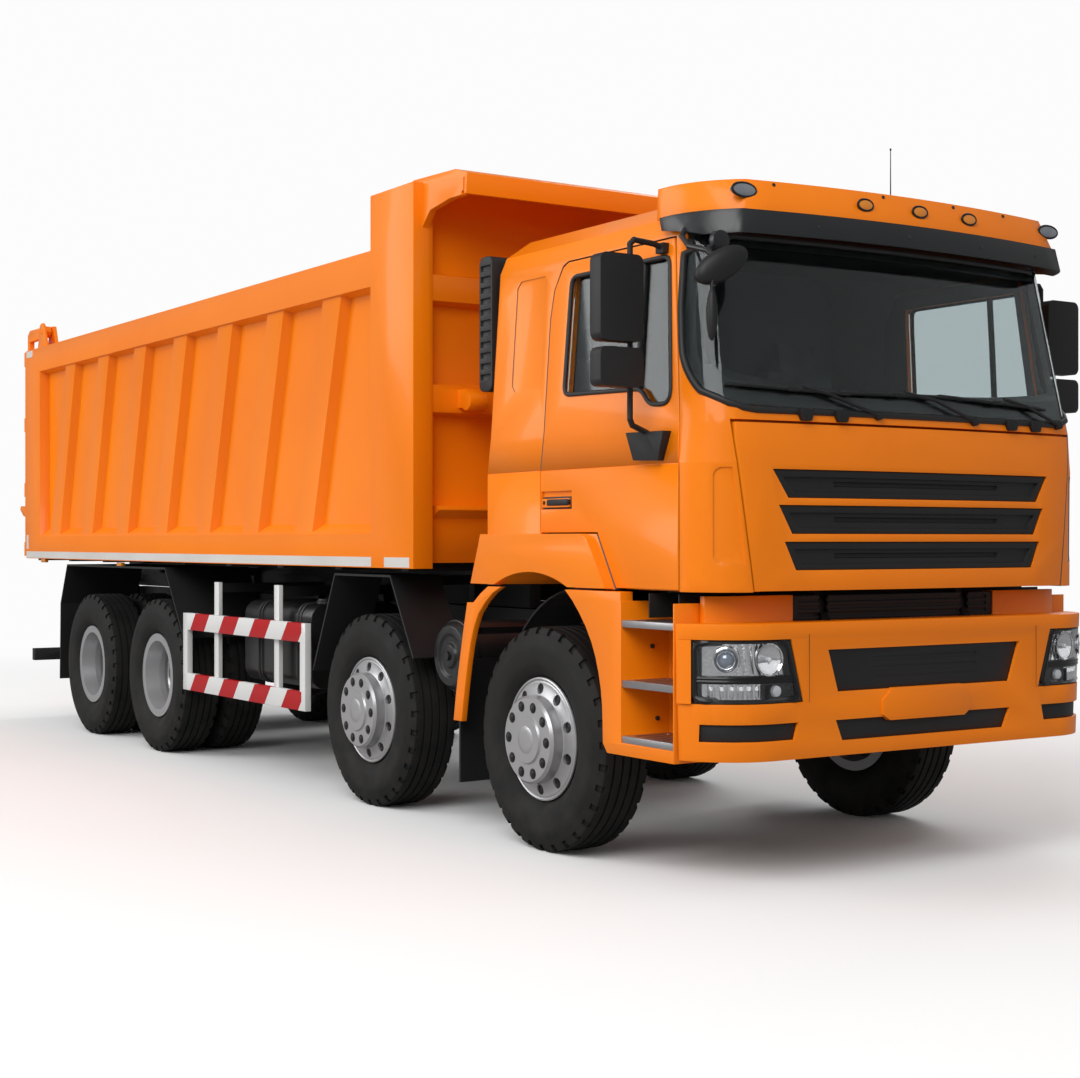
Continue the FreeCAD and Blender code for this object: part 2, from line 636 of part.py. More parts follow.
def side_guards():
    """Return the two side guards: two posts, an upper and a lower bar and end uprights."""
    y0, y1 = GUARD_IN, BODY_HALF_WIDTH
    x0, x1 = GUARD_REAR, GUARD_FRONT
    parts = [box(x0, x1, y0, y1, 906, 1022), box(x0, x1, y0, y1, 490, 606),
             box(x0, x0 + 75, y0, y1, 600, 910), box(x1 - 75, x1, y0, y1, 600, 910)]
    for x in GUARD_POSTS:
        parts.append(box(x - GUARD_POST_HALF, x + GUARD_POST_HALF, y0 - GUARD_POST_THICK, y0 + 5,
                         500, 1243))
    return pair(fused(parts))


def guard_arms():
    """Return the black arms that reach from the frame to the side guards' posts."""
    arms = []
    for x in GUARD_POSTS:
        x0, x1 = x - GUARD_POST_HALF + 5, x + GUARD_POST_HALF - 5
        out = GUARD_IN - GUARD_POST_THICK - SEAT
        foot = FRAME_OUTER_Y + SEAT
        arm = fused([box(x0, x1, foot, out, 1175, 1235), box(x0, x1, foot, foot + 40, 1000, 1235)])
        arms += [arm, mirrored(arm)]
    return arms


def guard_band(outline, thick, y0, y1):
    """Return a bent band that follows an open outline in the XZ plane."""
    inner = []
    for index, (x, z) in enumerate(outline):
        before = outline[max(index - 1, 0)]
        after = outline[min(index + 1, len(outline) - 1)]
        dx, dz = after[0] - before[0], after[1] - before[1]
        size = math.hypot(dx, dz)
        inner.append((x + dz / size * thick, z - dx / size * thick))
    return plate_xz(outline + list(reversed(inner)), y0, y1)


def mudguards():
    """Return the black mudguards over axle two and the rear pair, and the front flaps."""
    second = [(AXLE_1 - 2445, 743), (AXLE_1 - 2150, 1330), (AXLE_1 - 1460, 1330),
              (AXLE_1 - 1192, 883)]
    rear = [(AXLE_1 - 7080, 390), (AXLE_1 - 7060, 1010), (AXLE_1 - 6893, 1330),
            (AXLE_1 - 4749, 1330), (AXLE_1 - 4393, 849)]
    solids = []
    for side in (-1, 1):
        for outline, y_in, y_out, arm_x in (
                (second, 880.0, 1200.0, (AXLE_2,)), (rear, 600.0, BODY_HALF_WIDTH - 5, (AXLE_3, AXLE_4))):
            y0, y1 = sorted((side * y_in, side * y_out))
            parts = [guard_band(outline, 14.0, y0, y1)]
            for x in arm_x:
                a0, a1 = sorted((side * FRAME_OUTER_Y, side * (y_in + 40)))
                parts.append(box(x - 30, x + 30, a0, a1, 1262, 1317))
                b0, b1 = sorted((side * FRAME_OUTER_Y, side * (FRAME_OUTER_Y + 40)))
                parts.append(box(x - 30, x + 30, b0, b1, 1060, 1317))
            solids.append(fused(parts))
        f0, f1 = sorted((side * 860.0, side * 1190.0))
        flap = box(AXLE_1 - 722, AXLE_1 - 708, f0, f1, 260, 900)
        a0, a1 = sorted((side * FRAME_OUTER_Y, side * 1190.0))
        bar = box(AXLE_1 - 745, AXLE_1 - 722, a0, a1, 850, 890)
        solids.append(fused([flap, bar]))
    return Part.makeCompound(solids + arch_liners())


def arch_liners():
    """Return the black liners over the front wheels, each on an arm from the frame."""
    first, last, steps = math.radians(15), math.radians(165), 20
    angles = [first + (last - first) * index / steps for index in range(steps + 1)]
    outline = [(ARCH_X + radius * math.cos(angle), ARCH_Z + radius * math.sin(angle))
               for radius, run in ((LINER_RADIUS, angles), (LINER_RADIUS + LINER_PLATE, angles[::-1]))
               for angle in run]
    top = ARCH_Z + LINER_RADIUS + 4
    shell = plate_xz(outline, LINER_IN, LINER_OUT)
    foot = FRAME_OUTER_Y + SEAT
    arm = box(ARCH_X - 30, ARCH_X + 30, foot, LINER_IN + 20, top - 24, top)
    post = box(ARCH_X - 30, ARCH_X + 30, foot, foot + 30, 1060, top)
    liner = fused([shell, arm, post])
    return [liner, mirrored(liner)]


def underrun_bar():
    """Return the rear underrun bar on its two hangers, with the lamp boards."""
    x = BED_REAR + 50
    bar = box(x, x + 70, -1190, 1190, 490, 592)
    low = FRAME_TOP - FRAME_DEPTH
    parts = [bar]
    for side in (-1, 1):
        y0, y1 = sorted((side * (FRAME_OUTER_Y - 70), side * FRAME_OUTER_Y))
        outline = [(FRAME_REAR + 300, low), (FRAME_REAR + 120, low), (x + 10, 592), (x + 10, 500),
                   (x + 75, 500), (FRAME_REAR + 300, low - 120)]
        parts.append(plate_xz(outline, y0, y1))
        s0, s1 = sorted((side * 560.0, side * 940.0))
        parts.append(box(x + 64, x + 80, s0, s1, 560, 800))
    return fused(parts)


def bumper_corner(inset):
    """Return three plan points on the left corner's arc, tangent to the flat front."""
    reach = BUMPER_FRONT - BUMPER_SIDE_X
    spread = BODY_HALF_WIDTH - BUMPER_FLAT
    outer_radius = (reach ** 2 + spread ** 2) / (2 * reach)
    centre_x = BUMPER_FRONT - outer_radius
    radius = outer_radius - inset
    sweep = math.acos((BUMPER_SIDE_X - centre_x) / radius)
    return [(centre_x + radius * math.cos(angle), BUMPER_FLAT + radius * math.sin(angle))
            for angle in (sweep, sweep / 2, 0.0)]


def bumper_solid(inset, z0, z1, taper=0.0):
    """Return the bumper's bowed form as a solid between two heights."""
    wires = []
    for z, shrink in ((z0, taper), (z1, 0.0)):
        corner = bumper_corner(inset + shrink)
        left = [Vec(x, y, z) for x, y in corner]
        right = [Vec(x, -y, z) for x, y in reversed(corner)]
        edges = [Part.Arc(*left).toShape(), Part.makeLine(left[2], right[0]),
                 Part.Arc(*right).toShape(), Part.makeLine(right[2], left[0])]
        wires.append(Part.Wire(edges))
    return Part.makeLoft(wires, True, True)


def trapezoid(top_half, low_half, z_top, z_low, x0, x1):
    """Return a prism along X whose outline is wider at the top than at the bottom."""
    return plate_yz([(-top_half, z_top), (top_half, z_top), (low_half, z_low), (-low_half, z_low)],
                    x0, x1)


def headlamp_pocket(grow, x0, x1):
    """Return the left headlamp's outline as a prism along X."""
    return plate_yz([(HEADLAMP_IN_TOP - grow, HEADLAMP_TOP + grow),
                     (HEADLAMP_OUT + 60, HEADLAMP_TOP + grow),
                     (HEADLAMP_OUT + 60, HEADLAMP_LOW - grow),
                     (HEADLAMP_IN_LOW - grow, HEADLAMP_LOW - grow)], x0, x1)


def bumper_recesses(clear):
    """Return the forms that the bumper's dark openings take, grown by a clearance."""
    x0 = BUMPER_FRONT - GRILLE_DEPTH - clear
    x1 = BUMPER_FRONT + 20
    main = trapezoid(607 + clear, 545 + clear, 1045 + clear, 858 - clear, x0, x1)
    slot = trapezoid(554 + clear, 513 + clear, 733 + clear, 640 - clear, x0, x1)
    fog = plate_yz([(770 - clear, 735 + clear), (1190, 735 + clear), (1190, 660 - clear),
                    (790 - clear, 660 - clear)], BUMPER_SIDE_X + 60, x1)
    return [main, slot, fog, mirrored(fog)]


def plate_pad(grow):
    """Return the raised blank pad between the bumper's two middle openings."""
    return plate_yz([
        (-221 - grow, 861 + grow), (219 + grow, 861 + grow), (276 + grow, 806), (276 + grow, 744),
        (236 + grow, 716 - grow), (-236 - grow, 716 - grow), (-283 - grow, 744), (-283 - grow, 806),
    ], BUMPER_FRONT - GRILLE_DEPTH - 10 - grow, BUMPER_FRONT - 1 + grow)


def front_bumper():
    """Return the bumper: a hollow bowed shell with a recessed upper step and pockets."""
    outer = bumper_solid(0, BUMPER_BOTTOM, BUMPER_TOP, BUMPER_TAPER)
    hollow = bumper_solid(BUMPER_WALL, BUMPER_BOTTOM - 1, BUMPER_TOP - BUMPER_WALL, BUMPER_TAPER)
    shell = outer.cut(hollow)
    step_x = AXLE_1 + 1270
    step_outline = [(BUMPER_SIDE_X, 1110), (step_x - 40, 1110), (step_x, 1000), (step_x, -1000),
                    (step_x - 40, -1110), (BUMPER_SIDE_X, -1110)]
    step = plate_xy(step_outline, BUMPER_TOP - 10, BUMPER_STEP_TOP)
    clear_back = box(BUMPER_SIDE_X - 10, AXLE_1 + 1240, -640, 640, BUMPER_TOP - 70,
                     BUMPER_STEP_TOP + 10)
    shell = shell.fuse(step).removeSplitter()
    cuts = [clear_back]
    skin = bumper_solid(GRILLE_DEPTH, BUMPER_BOTTOM - 5, BUMPER_TOP + 5, BUMPER_TAPER)
    for recess in bumper_recesses(0.0):
        cuts.append(recess.cut(skin))
    lamp_skin = bumper_solid(LAMP_DEPTH, BUMPER_BOTTOM - 5, BUMPER_TOP + 5, BUMPER_TAPER)
    pocket = headlamp_pocket(0.0, BUMPER_SIDE_X + 12, BUMPER_FRONT + 20).cut(lamp_skin)
    cuts += [pocket, mirrored(pocket)]
    band = box(AXLE_1 + 1240, step_x + 1, -640, 640, BUMPER_TOP - 1, BUMPER_STEP_TOP + 10)
    cuts.append(band)
    return shell.cut(cuts + cab_arm_slots()).fuse(plate_pad(0.0)).removeSplitter()


def bumper_grille():
    """Return the dark louvred inserts of the bumper's openings and its top band."""
    skin_out = bumper_solid(14.0, BUMPER_BOTTOM - 5, BUMPER_TOP + 5, BUMPER_TAPER)
    skin_in = bumper_solid(GRILLE_DEPTH - SEAT, BUMPER_BOTTOM - 5, BUMPER_TOP + 5, BUMPER_TAPER)
    inserts = []
    for recess in bumper_recesses(-SEAT):
        inserts.append(recess.common(skin_out).cut([skin_in, plate_pad(SEAT)]))
    main = inserts[0]
    slots = []
    for z in (905.0, 950.0, 995.0):
        slots.append(box(BUMPER_FRONT - 24, BUMPER_FRONT + 30, -330, 330, z - 11, z + 11))
    inserts[0] = main.cut(slots)
    band = box(AXLE_1 + 1240 + SEAT, AXLE_1 + 1264, -640 + SEAT, 640 - SEAT, BUMPER_TOP + SEAT,
               BUMPER_STEP_TOP - 4)
    louvres = []
    for z in (1190.0, 1222.0, 1254.0):
        louvres.append(box(AXLE_1 + 1256, AXLE_1 + 1275, -600, 600, z - 8, z + 8))
    inserts.append(band.cut(louvres + cab_arm_slots()))
    return Part.makeCompound(inserts)


def headlamp():
    """Return the left headlamp unit, flush with the bumper's skin."""
    clear = -4.0
    outer = bumper_solid(3.0, BUMPER_BOTTOM - 5, BUMPER_TOP + 5, BUMPER_TAPER)
    inner = bumper_solid(LAMP_DEPTH - SEAT, BUMPER_BOTTOM - 5, BUMPER_TOP + 5, BUMPER_TAPER)
    form = headlamp_pocket(clear, BUMPER_SIDE_X + 12 + SEAT, BUMPER_FRONT + 20)
    return form.common(outer).cut(inner)


def lamps():
    """Return the headlamps and the rear lamps."""
    x = BED_REAR + 50
    rear = box(x + 18, x + 64, 590, 910, 640, 770)
    return Part.makeCompound([headlamp(), mirrored(headlamp()), rear, mirrored(rear)])


def lower_fender():
    """Return the left step box with its arch panel, and the strip behind the wheel."""
    y1 = BODY_HALF_WIDTH
    y0 = 950.0
    inner_x = AXLE_1 + 657
    arch = [
        (AXLE_1 + 345, 1292), (AXLE_1 + 408, 1243), (AXLE_1 + 464, 1188), (AXLE_1 + 520, 1123),
        (AXLE_1 + 567, 1052), (AXLE_1 + 599, 985), (AXLE_1 + 623, 915), (AXLE_1 + 640, 845),
        (AXLE_1 + 650, 775), (AXLE_1 + 655, 690), (inner_x, 598), (AXLE_1 + 691, 557),
        (STEP_REAR + 4, 557),
        (STEP_REAR + 4, 1292),
    ]
    panel = plate_xz(arch, y0, y1)
    panel = panel.cut(plate_xz([(AXLE_1 + 200, 1000), (AXLE_1 + 200, 1300), (STEP_REAR + 10, 1300),
                                (STEP_REAR + 10, 1190), (AXLE_1 + 660, 1190)], y0 - 1, y1 - 70))
    step = box(STEP_REAR, STEP_FRONT, y0, y1, 557, 1250)
    bays = []
    levels = list(STEP_LEVELS) + [1290.0]
    for low, high in zip(levels, levels[1:]):
        bays.append(box(STEP_REAR + 8, STEP_FRONT - 8, y0 + 20, y1 + 1, low, high - TREAD_THICK))
    step = step.cut(bays)
    seats = []
    for z in STEP_LEVELS:
        seats.append(box(STEP_REAR + 8, STEP_FRONT - 8, y0 + 20, y1 + 1, z - TREAD_THICK, z))
    step = step.cut(seats)
    front = fused([panel, step])
    arm = box(STEP_REAR + 100, STEP_REAR + 200, FRAME_OUTER_Y, y0 + 10, 860, 960)
    front = front.fuse(arm).removeSplitter()
    strip = plate_xz([
        (AXLE_1 - 225, 1292), (AXLE_1 - 346, 1292), (AXLE_1 - 420, 1254), (AXLE_1 - 490, 1206),
        (AXLE_1 - 549, 1206), (AXLE_1 - 588, 1062), (AXLE_1 - 622, 917), (AXLE_1 - 646, 808),
        (AXLE_1 - 668, 699), (AXLE_1 - 687, 590), (AXLE_1 - 605, 590), (AXLE_1 - 585, 700),
        (AXLE_1 - 563, 810), (AXLE_1 - 538, 917), (AXLE_1 - 514, 1000), (AXLE_1 - 482, 1080),
        (AXLE_1 - 440, 1150), (AXLE_1 - 372, 1212), (AXLE_1 - 300, 1260),
    ], y1 - STRIP_THICK, y1)
    bar = box(AXLE_1 - 580, AXLE_1 - 545, FRAME_OUTER_Y, y1 - STRIP_THICK + 10, 1040, 1075)
    strip = fused([strip, bar])
    return front, strip


def lower_fenders():
    """Return the step boxes and the strips behind the front wheels, both sides."""
    front, strip = lower_fender()
    return Part.makeCompound([front, strip, mirrored(front), mirrored(strip)])


def step_treads():
    """Return the six grated treads that lie in the step boxes."""
    y0, y1 = 970.0 + SEAT, BODY_HALF_WIDTH - 4
    solids = []
    for z in STEP_LEVELS:
        plate = box(STEP_REAR + 8 + SEAT, STEP_FRONT - 8 - SEAT, y0, y1,
                    z - TREAD_THICK + SEAT, z)
        slots = []
        for index in range(5):
            x = STEP_REAR + 45 + index * 68
            slots.append(box(x, x + 38, y0 + 40, y1 - 40, z - TREAD_THICK + 8, z + 1))
        tread = plate.cut(slots)
        solids += [tread, mirrored(tread)]
    return Part.makeCompound(solids)


def cab_section(z, half, side_end, corner_x, corner_y, front_x, inset=0.0):
    """Return one horizontal outline of the cab's skin, optionally set inwards."""
    rear = CAB_REAR + inset
    half -= inset
    side_end = AXLE_1 + side_end - inset * 0.4
    corner_x = AXLE_1 + corner_x - inset
    corner_y -= inset * 0.8
    front_x = AXLE_1 + front_x - inset
    bend_x = side_end + (corner_x - side_end) * 0.66
    bend_y = corner_y + (half - corner_y) * 0.70
    bow_x = corner_x + (front_x - corner_x) * 0.78
    a, b, c = Vec(side_end, half, z), Vec(bend_x, bend_y, z), Vec(corner_x, corner_y, z)
    d, e = Vec(bow_x, corner_y * 0.5, z), Vec(front_x, 0, z)
    edges = [
        Part.makeLine(Vec(rear, -half, z), Vec(rear, half, z)),
        Part.makeLine(Vec(rear, half, z), a),
        Part.Arc(a, b, c).toShape(),
        Part.Arc(c, e, Vec(corner_x, -corner_y, z)).toShape(),
        Part.Arc(Vec(corner_x, -corner_y, z), Vec(bend_x, -bend_y, z),
                 Vec(side_end, -half, z)).toShape(),
        Part.makeLine(Vec(side_end, -half, z), Vec(rear, -half, z)),
    ]
    return Part.Wire(edges)


def cab_skin(inset=0.0, lift=0.0, drop=0.0):
    """Return the cab's outer form as a solid, set inwards by a wall's thickness."""
    wires = []
    last = len(CAB_SECTIONS) - 1
    for index, section in enumerate(CAB_SECTIONS):
        z = section[0]
        if index == 0:
            z += lift
        if index == last:
            z -= drop
        wires.append(cab_section(z, *section[1:], inset=inset))
    return Part.makeLoft(wires, True, True)


def door_outline(grow):
    """Return the door's outline in the XZ plane, grown by a gap."""
    rear, front = DOOR_REAR - grow, DOOR_FRONT + grow
    top = DOOR_TOP + grow
    return [
        (rear, 1562 - grow), (rear, 2600), (rear + 22, 2740), (rear + 85, top - 20),
        (rear + 130, top), (front - 122, top), (front - 18, 2040), (front, 1855),
        (front, 1308 - grow), (AXLE_1 + 700 - grow, 1308 - grow), (AXLE_1 + 552 - grow, 1562 - grow),
    ]


def window_outline(grow):
    """Return the door window's outline in the XZ plane with its stepped lower edge."""
    x = AXLE_1
    points = [
        (x + 240 - grow, 2786 + grow), (x + 228 - grow, 2220 - grow), (x + 850, 2206 - grow),
        (x + 915, 2131 - grow), (x + 1040, 2124 - grow), (x + 1075 + grow, 2160),
        (x + 1010 + grow, 2786 + grow),
    ]
    return points


def flare_outline():
    """Return the wheel flare's outline, with the arch cut in its lower edge."""
    x = AXLE_1
    return [
        (x - 420, 1555), (x + 470, 1555), (x + 520, 1535), (x + 560, 1480), (x + 675, 1304),
        (x + 345, 1304), (x + 264, 1334), (x + 151, 1364), (x + 36, 1371), (x - 82, 1352),
        (x - 182, 1304), (x - 516, 1304), (x - 440, 1500),
    ]


def lid_outline(grow):
    """Return the front lid's outline in the YZ plane."""
    return [
        (-1066 - grow, LID_TOP + grow * LID_TOP_GAP / PANEL_GAP),
        (1066 + grow, LID_TOP + grow * LID_TOP_GAP / PANEL_GAP), (1043 + grow, 1849),
        (968 + grow, 1304 - grow), (-968 - grow, 1304 - grow), (-1043 - grow, 1849),
    ]


def windscreen_outline(grow):
    """Return the wrap-round windscreen's outline in the XZ plane, grown at its free edges."""
    x = AXLE_1 - grow
    foot = 2096.0 - grow
    return [
        (x + 1106, 2868 + grow), (x + 1106, 2769), (x + 1115, 2547), (x + 1135, 2399),
        (x + 1147, 2338), (x + 1172, 2284), (x + 1206, 2232 - grow), (x + 1246, 2184 - grow),
        (x + 1288, 2151 - grow), (x + 1335, 2122 - grow), (x + 1375, 2104 - grow),
        (x + 1410, foot), (x + 1700, foot), (x + 1700, 2868 + grow),
    ]


def windscreen_cuts():
    """Return the shallow seat that the glass lies in and the opening behind it."""
    reach = 1400.0
    seat = plate_xz(windscreen_outline(0), -reach, reach)
    seat = seat.cut(cab_skin(WINDSCREEN_INSET + GLASS + SEAT, 1.0, 1.0))
    opening = plate_xz(windscreen_outline(-WINDSCREEN_EDGE), -reach, reach)
    return [seat, opening]


def rear_pressing():
    """Return the shallow pressing in the left side wall behind the door."""
    x = AXLE_1
    outline = [(x - 250, 2295), (x - 218, 2263), (x + 2, 2263), (x + 30, 2295), (x + 30, 2790),
               (x + 2, 2820), (x - 218, 2820), (x - 250, 2788)]
    return plate_xz(outline, 900, 1300).cut(cab_skin(PRESSING))


def corner_pressing():
    """Return the shallow pressing in the left front corner beside the lid."""
    outline = [(1012, 1420), (1108, 1420), (1126, 1432), (1133, 1452), (1135, 1806),
               (1129, 1826), (1112, 1838), (1069, 1838)]
    return plate_yz(outline, AXLE_1 + 1200, AXLE_1 + 1600).cut(cab_skin(PRESSING))


def door_lug(z):
    """Return the gooseneck and pin on the left front pillar that carry the door."""
    x, y = DOOR_AXIS_X, DOOR_AXIS_Y
    half = HINGE_END
    neck = plate_xy([
        (x - half, y), (x + half, y), (x + half, y - 42), (x + 24, y - 46), (x + 50, y - 40),
        (x + 50, y - 66), (x + 10, y - 74), (x - half, y - 60),
    ], z - 8, z + 8)
    end = Part.makeCylinder(half, 16, Vec(x, y, z - 8))
    pin = Part.makeCylinder(HINGE_PIN, 64, Vec(x, y, z - 32))
    return fused([neck, end, pin])


def door_lug_pocket(z):
    """Return the room that a door's edge leaves for the gooseneck and its pin."""
    x, y = DOOR_AXIS_X, DOOR_AXIS_Y
    room = box(x - 16, x + 40, y - 120, y + 6, z - 14, z + 14)
    end = Part.makeCylinder(HINGE_POCKET, 28, Vec(x, y, z - 14))
    bore = Part.makeCylinder(HINGE_PIN + RUN, 66, Vec(x, y, z - 33))
    return fused([room, end, bore])


def lid_lug(y):
    """Return one gooseneck and pin above the firewall that carry the front lid."""
    x, z = LID_AXIS_X, LID_AXIS_Z
    neck = plate_xz([(AXLE_1 + 1315, z + 6), (AXLE_1 + 1315, z - 14), (x, z - HINGE_END),
                     (x, z + HINGE_END)], y - 8, y + 8)
    end = rod_y(x, z, HINGE_END, y - 8, y + 8)
    pin = rod_y(x, z, HINGE_PIN, y - 32, y + 32)
    return fused([neck, end, pin])


def lid_lug_pocket(y):
    """Return the room that the lid's upper edge leaves for a gooseneck and its pin."""
    x, z = LID_AXIS_X, LID_AXIS_Z
    room = box(x - 90, x, y - 14, y + 14, z - 14, z + 30)
    crown = box(x - 1, x + 8, y - 14, y + 14, z, z + 30)
    end = rod_y(x, z, HINGE_POCKET, y - 14, y + 14)
    bore = rod_y(x, z, HINGE_PIN + RUN, y - 33, y + 33)
    return fused([room, crown, end, bore])


def cab_arm_slots():
    """Return the slots that the bumper's upper step leaves for the cab's pivot arms."""
    slots = both_sides(AXLE_1 + 1180, CAB_HINGE_X + 95, CAB_EAR_Y1, CAB_EAR_Y1 + 52,
                       BUMPER_TOP - BUMPER_WALL - 10, BUMPER_STEP_TOP + 20)
    return slots


def cab_walls():
    """Return the cab's walls, floor and roof as one closed hollow solid."""
    outer = cab_skin()
    inner = cab_skin(CAB_WALL, CAB_FLOOR_TOP - CAB_BOTTOM, CAB_WALL)
    below_screen = box(FIREWALL_X, BUMPER_FRONT + 100, -1400, 1400, 1200, 2075)
    return outer.cut(inner.cut(below_screen))


def cab_shell():
    """Return the cab's shell with its openings, tunnel, flares and pivot arms."""
    shell = cab_walls()
    roomy = box(FIREWALL_X + 40, BUMPER_FRONT + 100, -TUNNEL_HALF * 2.0, TUNNEL_HALF * 2.0,
                1200, LID_TOP - 40)
    tunnel_cover = box(CAB_REAR, FIREWALL_X + 40, -TUNNEL_HALF, TUNNEL_HALF, CAB_BOTTOM,
                       TUNNEL_TOP + 25)
    shell = shell.fuse(tunnel_cover)
    flare = plate_xz(flare_outline(), 1150, BODY_HALF_WIDTH)
    shell = shell.fuse([flare, mirrored(flare)])
    arm = plate_xz([
        (CAB_HINGE_X - 175, CAB_BOTTOM + 20), (CAB_HINGE_X - 95, CAB_BOTTOM + 20),
        (CAB_HINGE_X + 28, CAB_HINGE_Z + 22), (CAB_HINGE_X + 34, CAB_HINGE_Z - 8),
        (CAB_HINGE_X + 14, CAB_HINGE_Z - 34), (CAB_HINGE_X - 20, CAB_HINGE_Z - 32),
        (CAB_HINGE_X - 36, CAB_HINGE_Z),
    ], CAB_EAR_Y1 + 6, CAB_EAR_Y1 + 46)
    shell = shell.fuse([arm, mirrored(arm)])
    reach = 2000
    cuts = [
        box(CAB_REAR - 10, FIREWALL_X + 50, -TUNNEL_HALF + 20, TUNNEL_HALF - 20, 1200, TUNNEL_TOP),
        roomy,
        plate_yz(lid_outline(PANEL_GAP), AXLE_1 + 1330, AXLE_1 + 1600),
        rod_y(AXLE_1 + 40, 545, 826, 820, reach), rod_y(AXLE_1 + 40, 545, 826, -reach, -820),
        rod_y(CAB_HINGE_X, CAB_HINGE_Z, CAB_PIN_RADIUS + RUN, -reach / 2, reach / 2),
    ]
    sill = box(CAB_REAR, BUMPER_FRONT, 0, DOOR_INNER_Y - PANEL_GAP, CAB_BOTTOM - 10, CAB_FLOOR_TOP)
    door = plate_xz(door_outline(PANEL_GAP), 1030, BODY_HALF_WIDTH + 50).cut(sill)
    room = plate_xz(door_outline(PANEL_GAP + DOOR_LEAN_ROOM), 900, 1110).cut(sill)
    flare_keep = plate_xz(flare_outline(), 1150, BODY_HALF_WIDTH)
    cuts += [door.cut(flare_keep), mirrored(door.cut(flare_keep)), room, mirrored(room)]
    cuts += windscreen_cuts()
    for pressing in (rear_pressing(), corner_pressing()):
        cuts += [pressing, mirrored(pressing)]
    shell = shell.cut(cuts)
    lugs = [door_lug(z) for z in DOOR_HINGE_Z]
    lugs += [mirrored(lug) for lug in lugs]
    lugs += [lid_lug(y) for y in LID_HINGE_Y]
    return shell.fuse(lugs).removeSplitter()


def door():
    """Return the left door: the part of the cab's wall inside the door's outline."""
    wall = cab_skin().cut(cab_skin(DOOR_WALL, -1.0, CAB_WALL))
    blank = plate_xz(door_outline(0), 1000, BODY_HALF_WIDTH)
    panel = wall.common(blank)
    window = plate_xz(window_outline(0), 900, BODY_HALF_WIDTH + 50)
    panel = panel.cut(window)
    recess = box(AXLE_1 + 78, AXLE_1 + 340, 1188, 1300, 1672, 1760)
    handle = box(AXLE_1 + 95, AXLE_1 + 320, 1187, 1206, 1682, 1724)
    panel = panel.cut(recess).fuse(handle)
    return panel.cut([door_lug_pocket(z) for z in DOOR_HINGE_Z]).removeSplitter()


def door_glass():
    """Return the left door's fixed and sliding glass as one pane in the window."""
    middle = CAB_WALL / 2
    outer = cab_skin(middle - GLASS / 2)
    inner = cab_skin(middle + GLASS / 2, 1.0, 1.0)
    pane = outer.cut(inner).common(plate_xz(window_outline(-SEAT), 1000, BODY_HALF_WIDTH))
    return pane


def windscreen():
    """Return the bowed windscreen, wrapped round both front corners."""
    outer = cab_skin(WINDSCREEN_INSET)
    inner = cab_skin(WINDSCREEN_INSET + GLASS, 1.0, 1.0)
    return outer.cut(inner).common(plate_xz(windscreen_outline(-SEAT), -1400, 1400))


def front_lid():
    """Return the front lid with its three grille openings."""
    skin = cab_skin().cut(cab_skin(LID_THICK, 1.0, 1.0))
    lid = skin.common(plate_yz(lid_outline(0), AXLE_1 + 1335, AXLE_1 + 1600))
    lid = lid.common(box(AXLE_1 + 1300, AXLE_1 + 1600, -LID_HALF, LID_HALF, 1200, LID_TOP + 10))
    cuts = []
    for top, low, top_half, low_half in GRILLE_ROWS:
        cuts.append(trapezoid(top_half, low_half, top, low, AXLE_1 + 1300, AXLE_1 + 1600))
    cuts += [lid_lug_pocket(y) for y in LID_HINGE_Y]
    return lid.cut(cuts)


def grilles():
    """Return the three dark grille bars that fill the lid's openings."""
    front = cab_skin(6.0)
    back = cab_skin(LID_THICK, 1.0, 1.0)
    deep = cab_skin(20.0, 1.0, 1.0)
    slit_end = cab_skin(GRILLE_SLIT_DEPTH, 1.0, 1.0)
    solids = []
    for top, low, top_half, low_half in GRILLE_ROWS:
        form = trapezoid(top_half - SEAT, low_half - SEAT, top - SEAT, low + SEAT, AXLE_1 + 1300,
                         AXLE_1 + 1600)
        bar = form.common(front.cut(back))
        middle = (top + low) / 2
        hollow = trapezoid(top_half - 60, low_half - 40, top - 34, low + 26, AXLE_1 + 1300,
                           AXLE_1 + 1600).cut(deep)
        bar = bar.cut(hollow)
        slit = box(AXLE_1 + 1300, AXLE_1 + 1600, -520, 520, middle - 10, middle + 10)
        solids.append(bar.cut(slit.cut(slit_end)))
    return Part.makeCompound(solids)


def band_wire(z, grow, end_x, end_y, front_x, corner_x, corner_y):
    """Return a closed plan outline of a wrap-round band's outer edge."""
    front = AXLE_1 + front_x + grow
    corner_x = AXLE_1 + corner_x + grow * 0.8
    corner_y = corner_y + grow * 0.6
    end_x = AXLE_1 + end_x
    end_y = end_y + grow
    bend_x = end_x + (corner_x - end_x) * 0.70
    bend_y = corner_y + (end_y - corner_y) * 0.62
    edges = [
        Part.makeLine(Vec(end_x, -end_y, z), Vec(end_x, end_y, z)),
        Part.Arc(Vec(end_x, end_y, z), Vec(bend_x, bend_y, z), Vec(corner_x, corner_y, z)).toShape(),
        Part.Arc(Vec(corner_x, corner_y, z), Vec(front, 0, z), Vec(corner_x, -corner_y, z)).toShape(),
        Part.Arc(Vec(corner_x, -corner_y, z), Vec(bend_x, -bend_y, z), Vec(end_x, -end_y, z)).toShape(),
    ]
    return Part.Wire(edges)


